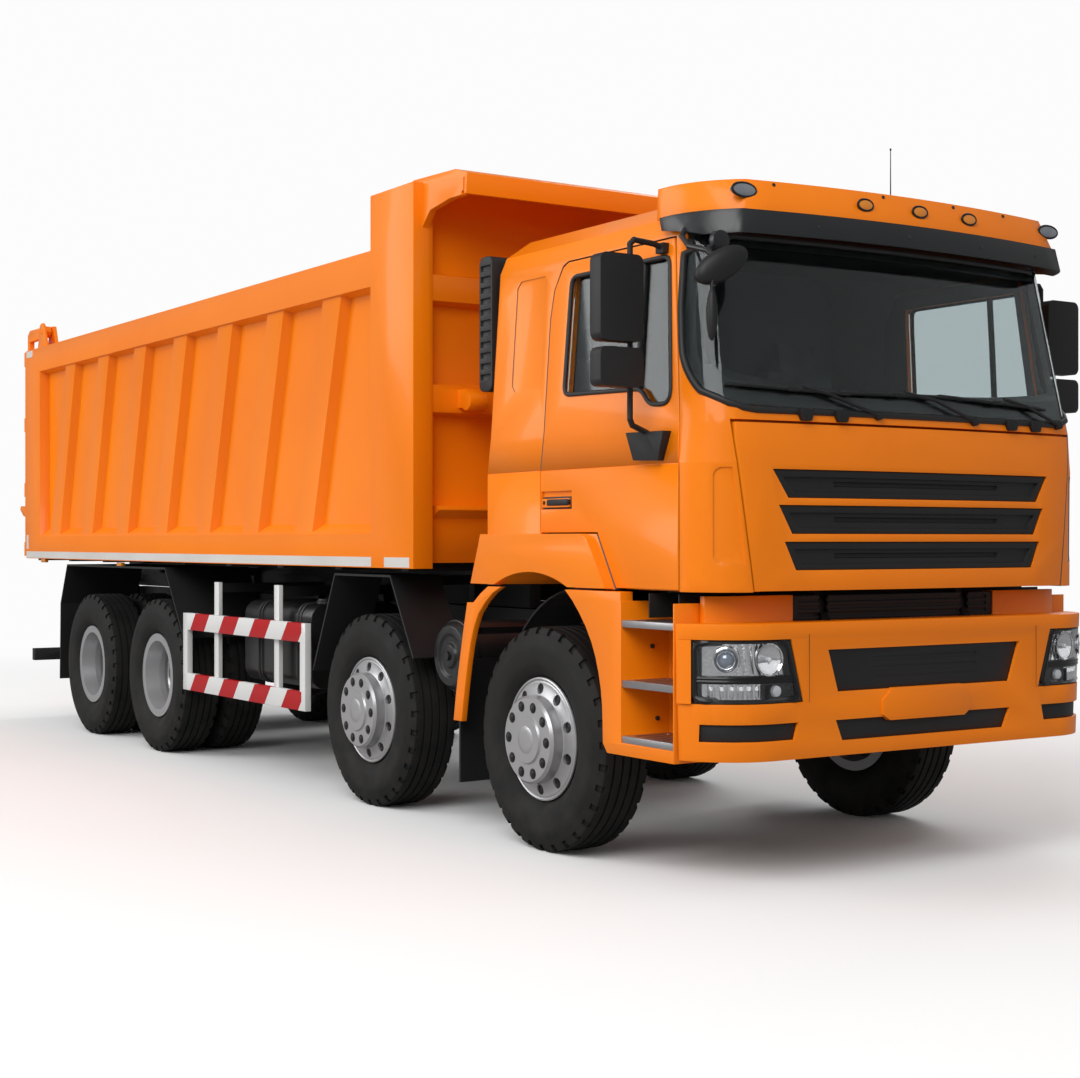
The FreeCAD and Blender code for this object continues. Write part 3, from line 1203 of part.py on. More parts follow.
def roof_visor():
    """Return the painted visor that wraps round the front of the roof."""
    low = (900.0, 1118.0, 1434.0, 1349.0, 968.0)
    top = (900.0, 1112.0, 1380.0, 1296.0, 935.0)
    outer = Part.makeLoft([band_wire(VISOR_LOW, 0, *low), band_wire(VISOR_TOP, 0, *top)], True, True)
    inner = Part.makeLoft([band_wire(VISOR_LOW - 1, -22, *low), band_wire(VISOR_TOP + 1, -22, *top)],
                          True, True)
    shell = outer.cut(inner)
    shelf = outer.common(box(AXLE_1 + 900, AXLE_1 + 1500, -1300, 1300, VISOR_LOW + 40, VISOR_LOW + 58))
    shelf = shelf.cut(cab_skin(-SEAT))
    return shell.fuse(shelf).removeSplitter().cut(cab_skin(-SEAT))


def roof_lamps():
    """Return the five lamps on the roof visor."""
    solids = []
    for y, width, height, z in ((-968.0, 62, 26, 3044), (-330.0, 42, 22, 3030), (0.0, 42, 22, 3030),
                                (330.0, 42, 22, 3030), (968.0, 62, 26, 3044)):
        lean = 54.0 * (z - VISOR_LOW) / (VISOR_TOP - VISOR_LOW)
        face = AXLE_1 + 1434 - lean - 85.0 * (y / 968.0) ** 2
        lamp = Part.makeCylinder(height, 26, Vec(face - 12, y, z), Vec(1, 0, 0))
        matrix = FreeCAD.Matrix()
        matrix.move(Vec(0, -y, 0))
        matrix.scale(Vec(1, width / height, 1))
        matrix.move(Vec(0, y, 0))
        lamp = lamp.transformGeometry(matrix)
        solids.append(lamp)
    visor = roof_visor()
    outside = [max(lamp.cut(visor).Solids, key=lambda piece: piece.BoundBox.XMax) for lamp in solids]
    return Part.makeCompound(outside)


def sun_visor():
    """Return the dark sun visor under the roof visor, with the kerb mirror on its arm."""
    top = (960.0, 1150.0, 1440.0, 1352.0, 992.0)
    low = (1000.0, 1160.0, 1462.0, 1372.0, 1006.0)
    top_z, low_z = VISOR_LOW - SEAT, 2850.0
    outer = Part.makeLoft([band_wire(low_z, 0, *low), band_wire(top_z, 0, *top)], True, True)
    inner = Part.makeLoft([band_wire(low_z - 1, -12, *low), band_wire(top_z + 1, -12, *top)], True, True)
    door_room = plate_xz([
        (AXLE_1 + 900, low_z - 10), (AXLE_1 + 900, low_z + 60), (AXLE_1 + 1155, DOOR_TOP + 8),
        (AXLE_1 + 1270, low_z - 10),
    ], -1300, 1300)
    band = outer.cut(inner).cut([cab_skin(-SEAT), door_room])
    return band.fuse(kerb_mirror()).removeSplitter()


def snorkel():
    """Return the ribbed air intake duct on the right behind the cab."""
    x1 = CAB_REAR - SEAT
    x0 = CAB_REAR - 165
    body = box(x0, x1 - 40, -1150, -860, 2290, 2985)
    edges = [e for e in body.Edges if abs(e.BoundBox.YLength - 290) < 1e-6]
    body = body.makeFillet(40, edges)
    feet = [box(x1 - 60, x1, -1100, -910, 2400, 2460), box(x1 - 60, x1, -1100, -910, 2800, 2860)]
    ribs = []
    for index in range(11):
        z = 2350.0 + index * 56
        ribs.append(box(x0 + 14, x1 - 54, -1160, -1138, z, z + 28))
    return fused([body] + feet).cut(ribs)


def seats():
    """Return the driver's and the passenger's seats."""
    solids = []
    for y in (-620.0, 620.0):
        base = box(AXLE_1 - 60, AXLE_1 + 380, y - 160, y + 160, CAB_FLOOR_TOP, 1700)
        cushion = box(AXLE_1 - 130, AXLE_1 + 430, y - 240, y + 240, 1700, 1830)
        back = plate_xz([(AXLE_1 - 130, 1800), (AXLE_1 - 30, 1800), (AXLE_1 - 110, 2440),
                         (AXLE_1 - 190, 2440)], y - 230, y + 230)
        head = plate_xz([(AXLE_1 - 185, 2440), (AXLE_1 - 115, 2440), (AXLE_1 - 140, 2600),
                         (AXLE_1 - 200, 2600)], y - 130, y + 130)
        solids.append(fused([base, cushion, back, head]))
    return Part.makeCompound(solids)


def dashboard():
    """Return the dashboard with the steering column and wheel."""
    front = FIREWALL_X - SEAT
    board = plate_xz([(front, 1760), (front, 2090), (front - 240, 2080), (front - 330, 2010),
                      (front - 300, 1900), (front - 160, 1760)], -1020, 1020)
    centre = Vec(front - 430, 560, 2075)
    axis = Vec(-0.62, 0, 0.78)
    column = rod_between(centre, centre - axis * 260, 32)
    ring = Part.makeTorus(225, 14, centre, axis)
    spokes = [rod_between(centre, centre + Vec(0, 225, 0), 11),
              rod_between(centre, centre - Vec(0, 225, 0), 11),
              rod_between(centre, centre - Vec(0.78, 0, 0.62) * 225, 11)]
    hub = Part.makeCylinder(52, 30, centre - axis * 15, axis)
    return fused([board, column, hub, ring] + spokes)


def side_skin(z):
    """Return the half width of the cab's flat side at a height."""
    heights = [section[0] for section in CAB_SECTIONS]
    halves = [section[1] for section in CAB_SECTIONS]
    index = max(i for i, height in enumerate(heights[:-1]) if height <= z)
    share = (z - heights[index]) / (heights[index + 1] - heights[index])
    return halves[index] + share * (halves[index + 1] - halves[index])


def side_wedge(x0, x1, z0, z1, y1):
    """Return a block that stands on the cab's left side, out to a distance from the middle."""
    return plate_yz([(side_skin(z0) + SEAT, z0), (side_skin(z1) + SEAT, z1), (y1, z1), (y1, z0)], x0, x1)


def door_mirror():
    """Return the left mirror: two heads on a bent arm from the door."""
    x = AXLE_1 + 900
    upper = box(x + 65, x + 145, MIRROR_IN, MIRROR_OUT, 2388, 2768)
    upper = upper.makeFillet(36, [e for e in upper.Edges if e.BoundBox.XLength > 79])
    lower = box(x + 65, x + 145, MIRROR_IN, MIRROR_OUT, 2190, 2362)
    lower = lower.makeFillet(32, [e for e in lower.Edges if e.BoundBox.XLength > 79])
    stem_y = MIRROR_IN + 22
    path = [Vec(x + 72, 1146, 2826), Vec(x + 72, 1190, 2838), Vec(x + 76, stem_y - 20, 2846),
            Vec(x + 74, stem_y, 2826), Vec(x + 74, stem_y, 2056), Vec(x + 64, stem_y - 20, 2030),
            Vec(x + 56, 1215, 2000)]
    parts = [upper, lower]
    for start, end in zip(path, path[1:]):
        parts += [rod_between(start, end, 13), Part.makeSphere(13.5, end)]
    foot = plate_xz([(x - 84, 2007), (x + 193, 2003), (x + 155, 1874), (x - 27, 1881)], 1150, 1232)
    foot = foot.common(side_wedge(x - 100, x + 200, 1870, 2010, 1232))
    clamp = side_wedge(x + 42, x + 98, 2800, 2845, 1158)
    return fused(parts[:-1] + [foot, clamp])


def kerb_mirror():
    """Return the right kerb mirror with its lamp on a bent arm from the sun visor."""
    x = AXLE_1
    shell = box(x + 1368, x + 1458, -1270, -1080, 2566, 2764)
    shell = shell.makeFillet(38, [e for e in shell.Edges if e.BoundBox.XLength > 89])
    back = [e for e in shell.Edges if e.BoundBox.XMax < x + 1369]
    shell = shell.makeChamfer(16, back)
    path = [Vec(x + 1120, -1118, 2905), Vec(x + 1150, -1172, 2850), Vec(x + 1230, -1196, 2792),
            Vec(x + 1330, -1190, 2764), Vec(x + 1400, -1180, 2740)]
    parts = [shell]
    for start, end in zip(path, path[1:]):
        parts += [rod_between(start, end, 12), Part.makeSphere(12.5, end)]
    pod = box(x + 1390, x + 1420, -1238, -1208, 2360, 2600)
    pod = pod.makeFillet(12, [e for e in pod.Edges if e.BoundBox.ZLength > 200])
    lamp = Part.makeCylinder(44, 30, Vec(x + 1330, -1120, 2806), Vec(1, 0, 0))
    stalk = rod_between(Vec(x + 1345, -1120, 2806), Vec(x + 1340, -1188, 2762), 10)
    return parts[:-1] + [pod, lamp, stalk]


def dump_side():
    """Return the left side wall with rails, posts and slanted ribs."""
    y_in = BED_WALL_Y - BED_WALL
    panel = box(BED_REAR + 60, BED_FRONT - 60, y_in, BED_WALL_Y, BED_FLOOR_BOTTOM, BED_TOP)
    rail_out = BODY_HALF_WIDTH
    lower = plate_yz([(y_in, BED_BOTTOM), (rail_out, BED_BOTTOM), (rail_out, BED_LEDGE),
                      (BED_WALL_Y, BED_LEDGE_TOP), (y_in, BED_LEDGE_TOP)], BED_REAR + 60, BED_FRONT)
    upper = plate_yz([(y_in, BED_TOP_RAIL_BOTTOM), (BED_WALL_Y, BED_TOP_RAIL_BOTTOM - 20),
                      (rail_out, BED_TOP_RAIL_BOTTOM), (rail_out, BED_TOP), (y_in, BED_TOP)],
                     BED_REAR + 60, BED_FRONT)
    rear_post = box(BED_REAR + 60, BED_REAR + 60 + BED_POST_REAR, y_in, rail_out, BED_BOTTOM, BED_TOP)
    front_post = box(BED_FRONT - BED_POST_FRONT, BED_FRONT, y_in, rail_out, BED_BOTTOM, BED_POST_TOP)
    parts = [panel, lower, upper, rear_post, front_post]
    top_z, low_z = BED_TOP_RAIL_BOTTOM + 10, BED_LEDGE
    for index in range(RIB_COUNT):
        front_top = FIRST_RIB_TOP - index * RIB_PITCH
        front_low = front_top - RIB_LEAN
        face = BED_WALL_Y + RIB_FLANK
        wires = []
        for front, z in ((front_low, low_z), (front_top, top_z)):
            corners = [Vec(front, BED_WALL_Y - 5, z), Vec(front - 12, face, z),
                       Vec(front - RIB_FACE, face, z), Vec(front - RIB_FACE - 62, BED_WALL_Y - 5, z)]
            wires.append(Part.makePolygon(corners + corners[:1]))
        parts.append(Part.makeLoft(wires, True, True))
    return fused(parts)


def hoist_recess(grow):
    """Return the wedge of room in the headboard's foot that the raised hoist leans into."""
    half = HOIST_RADII[0] + 30 + grow
    back_top = HEADBOARD_X + 2 - grow
    back_low = back_top - RECESS_SLOPE * (RECESS_TOP - RECESS_LOW)
    low = BED_FLOOR_BOTTOM if grow else RECESS_LOW
    wedge = plate_xz([
        (BED_FRONT + 60, RECESS_LOW), (BED_FRONT + 60, 3000), (back_top, 3000),
        (back_top, RECESS_TOP), (back_low, RECESS_LOW),
    ], -half, half)
    return wedge.common(box(BED_REAR, BED_FRONT + 70, -half, half, low, 3010))


def headboard():
    """Return the front wall with its two beams, shelf and the hoist's upper bracket."""
    y = BED_WALL_Y - BED_WALL + 5
    x1 = HEADBOARD_X
    wall = box(x1 - 45, x1, -y, y, BED_FLOOR_BOTTOM, BED_POST_TOP)
    casing = hoist_recess(RECESS_PLATE).common(box(BED_REAR, x1 - 5, -y, y, BED_FLOOR_BOTTOM, RECESS_TOP))
    parts = [wall, casing]
    for z0, z1 in ((2830, 2970), (2222, 2370)):
        beam = plate_xz([(x1 - 5, z0 - 20), (x1 + 70, z0), (x1 + 70, z1), (x1 - 5, z1 + 20)], -y, y)
        parts.append(beam)
    parts.append(plate_xz([(x1 - 5, 1640), (x1 + 70, 1690), (x1 + 70, 1712), (x1 - 5, 1712)], -1085, 1085))
    parts += both_sides(x1 - 5, HOIST_X + 40, HOIST_EAR_Y0 + 40, HOIST_EAR_Y1 + 48,
                        HOIST_HEAD_Z - 60, HOIST_HEAD_Z + 60)
    stub_in = HOIST_EAR_Y0 + 26
    for side in (-1, 1):
        s0, s1 = sorted((side * stub_in, side * (HOIST_EAR_Y0 + 50)))
        parts.append(rod_y(HOIST_X, HOIST_HEAD_Z, 24, s0, s1))
    parts += both_sides(x1 + 60, x1 + 150, 850, 960, 2250, 2350)
    parts += [rod_y(x1 + 150, 2285, 52, 850, 960), rod_y(x1 + 150, 2285, 52, -960, -850)]
    return parts


def canopy():
    """Return the cab guard that reaches forward from the headboard's top."""
    rear = BED_FRONT - 100
    front = CANOPY_TOP_FRONT
    profile = [(rear, 3490), (front - 120, 3474), (front, 3436), (front - 12, 3330),
               (front - 34, 3330), (front - 28, 3412), (front - 130, 3446), (rear, 3446)]
    roof = plate_xz(profile, -1190, 1190)
    gussets = both_sides(rear, front - 60, 1150, 1190, 3330, 3450)
    cheeks = []
    for side in (-1, 1):
        y0, y1 = sorted((side * 1150.0, side * 1190.0))
        cheeks.append(plate_xz([(BED_FRONT - 20, 3200), (BED_FRONT - 20, 3440), (front - 40, 3440),
                                (front - 40, 3350), (front - 390, 3300)], y0, y1))
    return [roof] + gussets + cheeks


def bed_underframe():
    """Return the floor, its cross bearers and the two long runners with hinge bores."""
    y = BED_WALL_Y
    floor = box(BED_REAR + 60, BED_FRONT - 80, -y, y, BED_FLOOR_BOTTOM, BED_FLOOR_BOTTOM + BED_FLOOR)
    parts = [floor]
    runner_low = FRAME_TOP + 8
    rear = BED_HINGE_X - 75
    for side in (-1, 1):
        y0, y1 = sorted((side * (FRAME_OUTER_Y - 80), side * (FRAME_OUTER_Y - 5)))
        parts.append(box(rear, BED_FRONT - 120, y0, y1, runner_low, BED_FLOOR_BOTTOM + 5))
    count = 9
    for index in range(count):
        x = BED_REAR + 140 + index * (BED_FRONT - BED_REAR - 420) / (count - 1)
        parts.append(box(x, x + 80, -y, y, BED_FLOOR_BOTTOM - 48, BED_FLOOR_BOTTOM + 5))
    return parts


def tailgate_ears():
    """Return the ears and pins on the top rails that the tailgate hangs on."""
    parts = []
    for side in (-1, 1):
        y0, y1 = sorted((side * 1130.0, side * 1160.0))
        parts.append(plate_xz([
            (TAILGATE_PIN_X - 90, BED_TOP - 5), (TAILGATE_PIN_X + 120, BED_TOP - 5),
            (TAILGATE_PIN_X + 45, TAILGATE_PIN_Z + 45), (TAILGATE_PIN_X - 45, TAILGATE_PIN_Z + 45),
        ], y0, y1))
        p0, p1 = sorted((side * 1130.0, side * 1222.0))
        parts.append(rod_y(TAILGATE_PIN_X, TAILGATE_PIN_Z, TAILGATE_PIN_RADIUS, p0, p1))
    return parts


def dump_body():
    """Return the tipping body: floor, sides, headboard and cab guard, one welded piece."""
    side = dump_side()
    parts = [side, mirrored(side)] + headboard() + canopy() + bed_underframe() + tailgate_ears()
    body = fused(parts)
    bore = rod_y(BED_HINGE_X, BED_HINGE_Z, BED_PIN_RADIUS + RUN, -460, 460)
    return body.cut([bore, hoist_recess(0.0)])


def tailgate():
    """Return the tailgate: ribbed plate, hinge arms over the rails and latch lugs."""
    x1 = BED_REAR + 60 - 6
    x0 = BED_REAR
    plate = box(x1 - 30, x1, -BODY_HALF_WIDTH, BODY_HALF_WIDTH, BED_BOTTOM + 20, BED_TOP - 4)
    parts = [plate]
    for z in (BED_BOTTOM + 20, 1900, 2460, BED_TOP - 130):
        parts.append(box(x0, x1 - 25, -BODY_HALF_WIDTH, BODY_HALF_WIDTH, z, z + 120))
    for y in (-1185, -620, -60, 500, 1065):
        parts.append(box(x0, x1 - 25, y, y + 120, BED_BOTTOM + 30, BED_TOP - 10))
    for side in (-1, 1):
        y0, y1 = sorted((side * 1170.0, side * 1215.0))
        parts.append(plate_xz([
            (x0, BED_TOP - 200), (x0, TAILGATE_PIN_Z + 10), (x0 + 60, TAILGATE_PIN_Z + 48),
            (TAILGATE_PIN_X + 20, TAILGATE_PIN_Z + 44), (TAILGATE_PIN_X + 48, TAILGATE_PIN_Z),
            (TAILGATE_PIN_X + 10, TAILGATE_PIN_Z - 46), (x1 - 5, TAILGATE_PIN_Z - 50),
            (x1 - 5, BED_TOP - 200),
        ], y0, y1))
        l0, l1 = sorted((side * 1195.0, side * 1235.0))
        parts.append(plate_xz([
            (x0 + 28, 1720), (x0 - 60, 1735), (x0 - LATCH_REACH, 1790),
            (x0 - LATCH_REACH + 15, 1822), (x0 - 60, 1800), (x0 + 28, 1815),
        ], l0, l1))
    gate = fused(parts)
    bore = rod_y(TAILGATE_PIN_X, TAILGATE_PIN_Z, TAILGATE_PIN_RADIUS + RUN, -1400, 1400)
    return gate.cut(bore)


def hoist_tube(radius, z0, z1, bore, floor):
    """Return a tube of the hoist, closed at its foot."""
    body = Part.makeCylinder(radius, z1 - z0, Vec(HOIST_X, 0, z0))
    if bore > 0:
        body = body.cut(Part.makeCylinder(bore, z1 - z0, Vec(HOIST_X, 0, z0 + floor)))
    return body


def hoist_stage(index):
    """Return one telescopic stage; the last one carries the head's eye."""
    radius = HOIST_RADII[index]
    last = index == len(HOIST_RADII) - 1
    foot = HOIST_BOTTOM
    floor = HOIST_BASE
    if index > 0:
        foot = HOIST_BOTTOM + HOIST_BASE + 2.0 + (HOIST_FLOOR + 2.0) * (index - 1)
        floor = HOIST_FLOOR
    top = HOIST_TOP - 16.0 * (len(HOIST_RADII) - 1 - index)
    bore = 0 if last else HOIST_RADII[index + 1] + 1.0
    body = hoist_tube(radius, foot, top, bore, floor)
    if index == 0:
        eye = rod_y(HOIST_X, HOIST_FOOT_Z, 52, -HOIST_EAR_Y0 + 4, HOIST_EAR_Y0 - 4)
        neck = box(HOIST_X - 45, HOIST_X + 45, -HOIST_EAR_Y0 + 4, HOIST_EAR_Y0 - 4, HOIST_FOOT_Z,
                   HOIST_BOTTOM + 10)
        pin = rod_y(HOIST_X, HOIST_FOOT_Z, HOIST_PIN_RADIUS + RUN, -100, 100)
        return fused([body, eye, neck]).cut(pin)
    if last:
        eye = rod_y(HOIST_X, HOIST_HEAD_Z, 50, -45, 45)
        neck = box(HOIST_X - 36, HOIST_X + 36, -45, 45, top - 10, HOIST_HEAD_Z)
        hole = rod_y(HOIST_X, HOIST_HEAD_Z, 28, -100, 100)
        return fused([body, neck, eye]).cut(hole)
    return body


def wheel_nodes():
    """Return the tyres, wheels and knuckles of every corner by node name."""
    nodes = {}
    for number, axle in ((1, AXLE_1), (2, AXLE_2)):
        left = {
            "tyre": tyre(axle, FRONT_WHEEL_Y), "wheel": front_wheel(axle), "knuckle": knuckle(axle),
        }
        for name, shape in left.items():
            nodes[f"{name}_{number}_left"] = shape
            nodes[f"{name}_{number}_right"] = mirrored(shape)
    for number, axle in ((3, AXLE_3), (4, AXLE_4)):
        tyres = Part.makeCompound([tyre(axle, REAR_WHEEL_Y), tyre(axle, REAR_WHEEL_Y - DUAL_SPACING)])
        left = {"tyres": tyres, "wheels": rear_wheel(axle)}
        for name, shape in left.items():
            nodes[f"{name}_{number}_left"] = shape
            nodes[f"{name}_{number}_right"] = mirrored(shape)
    return nodes


def all_nodes():
    """Return every node of the truck by name."""
    nodes = {
        "chassis_frame": chassis_frame(),
        "engine": engine(),
        "radiator": radiator(),
        "front_axles": front_axles(),
        "rear_axles": rear_axles(),
        "leaf_springs": leaf_springs(),
        "fuel_tank": fuel_tank(),
        "battery_box": battery_box(),
        "air_filter": air_filter(),
        "side_guards": side_guards(),
        "mudguards": mudguards(),
        "underrun_bar": underrun_bar(),
        "lamps": lamps(),
        "front_bumper": front_bumper(),
        "bumper_grille": bumper_grille(),
        "lower_fenders": lower_fenders(),
        "step_treads": step_treads(),
        "cab_shell": cab_shell(),
        "windscreen": windscreen(),
        "roof_visor": roof_visor(),
        "roof_lamps": roof_lamps(),
        "sun_visor": sun_visor(),
        "snorkel": snorkel(),
        "seats": seats(),
        "dashboard": dashboard(),
        "front_lid": front_lid(),
        "grilles": grilles(),
        "door_left": door(),
        "door_right": mirrored(door()),
        "door_glass_left": door_glass(),
        "door_glass_right": mirrored(door_glass()),
        "mirror_left": door_mirror(),
        "mirror_right": mirrored(door_mirror()),
        "dump_body": dump_body(),
        "tailgate": tailgate(),
    }
    for index in range(len(HOIST_RADII)):
        name = "hoist_barrel" if index == 0 else f"hoist_stage_{index}"
        nodes[name] = hoist_stage(index)
    nodes.update(wheel_nodes())
    return nodes


def main():
    """Write each node as its own STEP file."""
    os.makedirs("parts", exist_ok=True)
    for name, shape in all_nodes().items():
        shape.exportStep(f"parts/{name}.step")
        print(name, len(shape.Solids), round(shape.Volume / 1e6, 2), shape.isValid())


main()
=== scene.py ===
"""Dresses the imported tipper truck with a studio, finishes and the fine pieces that the solids leave out."""
import enum
import json
import logging
import math
from collections.abc import Callable
from dataclasses import dataclass, field, replace

import bpy
from mathutils import Matrix, Vector
from mathutils.bvhtree import BVHTree

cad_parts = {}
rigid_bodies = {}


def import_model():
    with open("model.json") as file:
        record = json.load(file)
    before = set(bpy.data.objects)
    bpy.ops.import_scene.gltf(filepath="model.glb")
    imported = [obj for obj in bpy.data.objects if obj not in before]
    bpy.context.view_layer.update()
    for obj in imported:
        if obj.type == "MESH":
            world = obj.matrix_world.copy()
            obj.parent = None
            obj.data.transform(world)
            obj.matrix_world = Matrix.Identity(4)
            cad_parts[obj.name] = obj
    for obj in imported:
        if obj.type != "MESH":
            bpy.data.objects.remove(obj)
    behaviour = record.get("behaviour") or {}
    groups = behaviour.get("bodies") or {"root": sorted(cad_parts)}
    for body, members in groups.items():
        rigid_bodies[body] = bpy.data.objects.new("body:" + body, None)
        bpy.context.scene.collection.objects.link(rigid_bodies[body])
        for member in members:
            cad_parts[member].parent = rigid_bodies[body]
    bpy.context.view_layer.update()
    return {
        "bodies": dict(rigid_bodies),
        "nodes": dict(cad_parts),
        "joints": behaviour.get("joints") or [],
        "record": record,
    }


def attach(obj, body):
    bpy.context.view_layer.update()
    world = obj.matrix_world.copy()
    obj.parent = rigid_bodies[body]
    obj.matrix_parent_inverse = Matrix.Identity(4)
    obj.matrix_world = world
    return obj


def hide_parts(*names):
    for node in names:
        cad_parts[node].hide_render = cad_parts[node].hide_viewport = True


LOG = logging.getLogger("tipper")
Point = tuple[float, float, float]
Colour = tuple[float, float, float]
Outline = list[tuple[float, float]]
FaceTest = Callable[[Vector, Vector], bool]
Tree = bpy.types.NodeTree
Socket = bpy.types.NodeSocket
Value = Socket | float | tuple

AXLE_1 = 3.350
AXLE_2 = 1.550
AXLE_3 = -1.625
AXLE_4 = -3.025
WHEEL_Z = 0.550


class Side(enum.Enum):
    """The two sides of the truck, by the sign of Y."""

    LEFT = 1
    RIGHT = -1

    @property
    def word(self) -> str:
        """Return the side's name as the frame's bodies spell it."""
        return self.name.lower()


# Shader groups

def new_group(name: str, inputs: dict[str, tuple[str, Value | None]],
              outputs: dict[str, str]) -> tuple[Tree, bpy.types.Node, bpy.types.Node]:
    """Start a shader node group with named sockets.

    Args:
        name: The group's name.
        inputs: Socket name to its type and default value.
        outputs: Socket name to its type.

    Returns:
        The group, its input node and its output node.
    """
    group = bpy.data.node_groups.new(name, "ShaderNodeTree")
    for key, (kind, value) in inputs.items():
        socket = group.interface.new_socket(key, in_out="INPUT", socket_type=kind)
        if value is not None:
            socket.default_value = value
    for key, kind in outputs.items():
        group.interface.new_socket(key, in_out="OUTPUT", socket_type=kind)
    return group, group.nodes.new("NodeGroupInput"), group.nodes.new("NodeGroupOutput")


def math_node(group: Tree, operation: str, first: Value, second: Value | None = None) -> Socket:
    """Add a Math node.

    Args:
        group: The node tree.
        operation: The node's operation.
        first: A socket or a number for the first input.
        second: A socket or a number for the second input.

    Returns:
        The node's output socket.
    """
    node = group.nodes.new("ShaderNodeMath")
    node.operation = operation
    for socket, value in zip(node.inputs, (first, second)):
        if value is None:
            continue
        if isinstance(value, (int, float)):
            socket.default_value = value
        else:
            group.links.new(value, socket)
    return node.outputs[0]


def mix_colour(group: Tree, factor: Value, first: Value, second: Value) -> Socket:
    """Add a colour Mix node and return its colour output.

    Args:
        group: The node tree.
        factor: How much of the second colour shows.
        first: The first colour or its socket.
        second: The second colour or its socket.

    Returns:
        The node's colour output.
    """
    node = group.nodes.new("ShaderNodeMix")
    node.data_type = "RGBA"
    sockets = (node.inputs[0], node.inputs[6], node.inputs[7])
    for socket, value in zip(sockets, (factor, first, second)):
        if isinstance(value, (int, float, tuple)):
            socket.default_value = value
        else:
            group.links.new(value, socket)
    return node.outputs[2]


def noise(group: Tree, place: Socket, scale: Value, detail: float = 3.0) -> Socket:
    """Add a Noise Texture on a place socket and return its value.

    Args:
        group: The node tree.
        place: The place socket.
        scale: The noise's scale or its socket.
        detail: The noise's detail.

    Returns:
        The node's value output.
    """
    node = group.nodes.new("ShaderNodeTexNoise")
    node.inputs["Detail"].default_value = detail
    group.links.new(place, node.inputs["Vector"])
    if isinstance(scale, (int, float)):
        node.inputs["Scale"].default_value = scale
    else:
        group.links.new(scale, node.inputs["Scale"])
    return node.outputs[0]


def spread(group: Tree, value: Socket, low: float, high: float, to_low: Value, to_high: Value) -> Socket:
    """Map a value from one range to another and return the output socket.

    Args:
        group: The node tree.
        value: The socket to map.
        low: The range's lowest value.
        high: The range's highest value.
        to_low: The lowest result or its socket.
        to_high: The highest result or its socket.

    Returns:
        The node's output socket.
    """
    node = group.nodes.new("ShaderNodeMapRange")
    group.links.new(value, node.inputs["Value"])
    node.inputs["From Min"].default_value = low
    node.inputs["From Max"].default_value = high
    for key, end in (("To Min", to_low), ("To Max", to_high)):
        if isinstance(end, (int, float)):
            node.inputs[key].default_value = end
        else:
            group.links.new(end, node.inputs[key])
    return node.outputs[0]


def use_group(tree: Tree, group: Tree, place: Socket, values: dict[str, Value]) -> bpy.types.Node:
    """Place a shared group in a material.

    Args:
        tree: The material's node tree.
        group: The shared group.
        place: The place socket.
        values: Input name to its number, colour or socket.

    Returns:
        The group's node.
    """
    node = tree.nodes.new("ShaderNodeGroup")
    node.node_tree = group
    tree.links.new(place, node.inputs["Place"])
    for key, value in values.items():
        if isinstance(value, Socket):
            tree.links.new(value, node.inputs[key])
        else:
            node.inputs[key].default_value = value
    return node


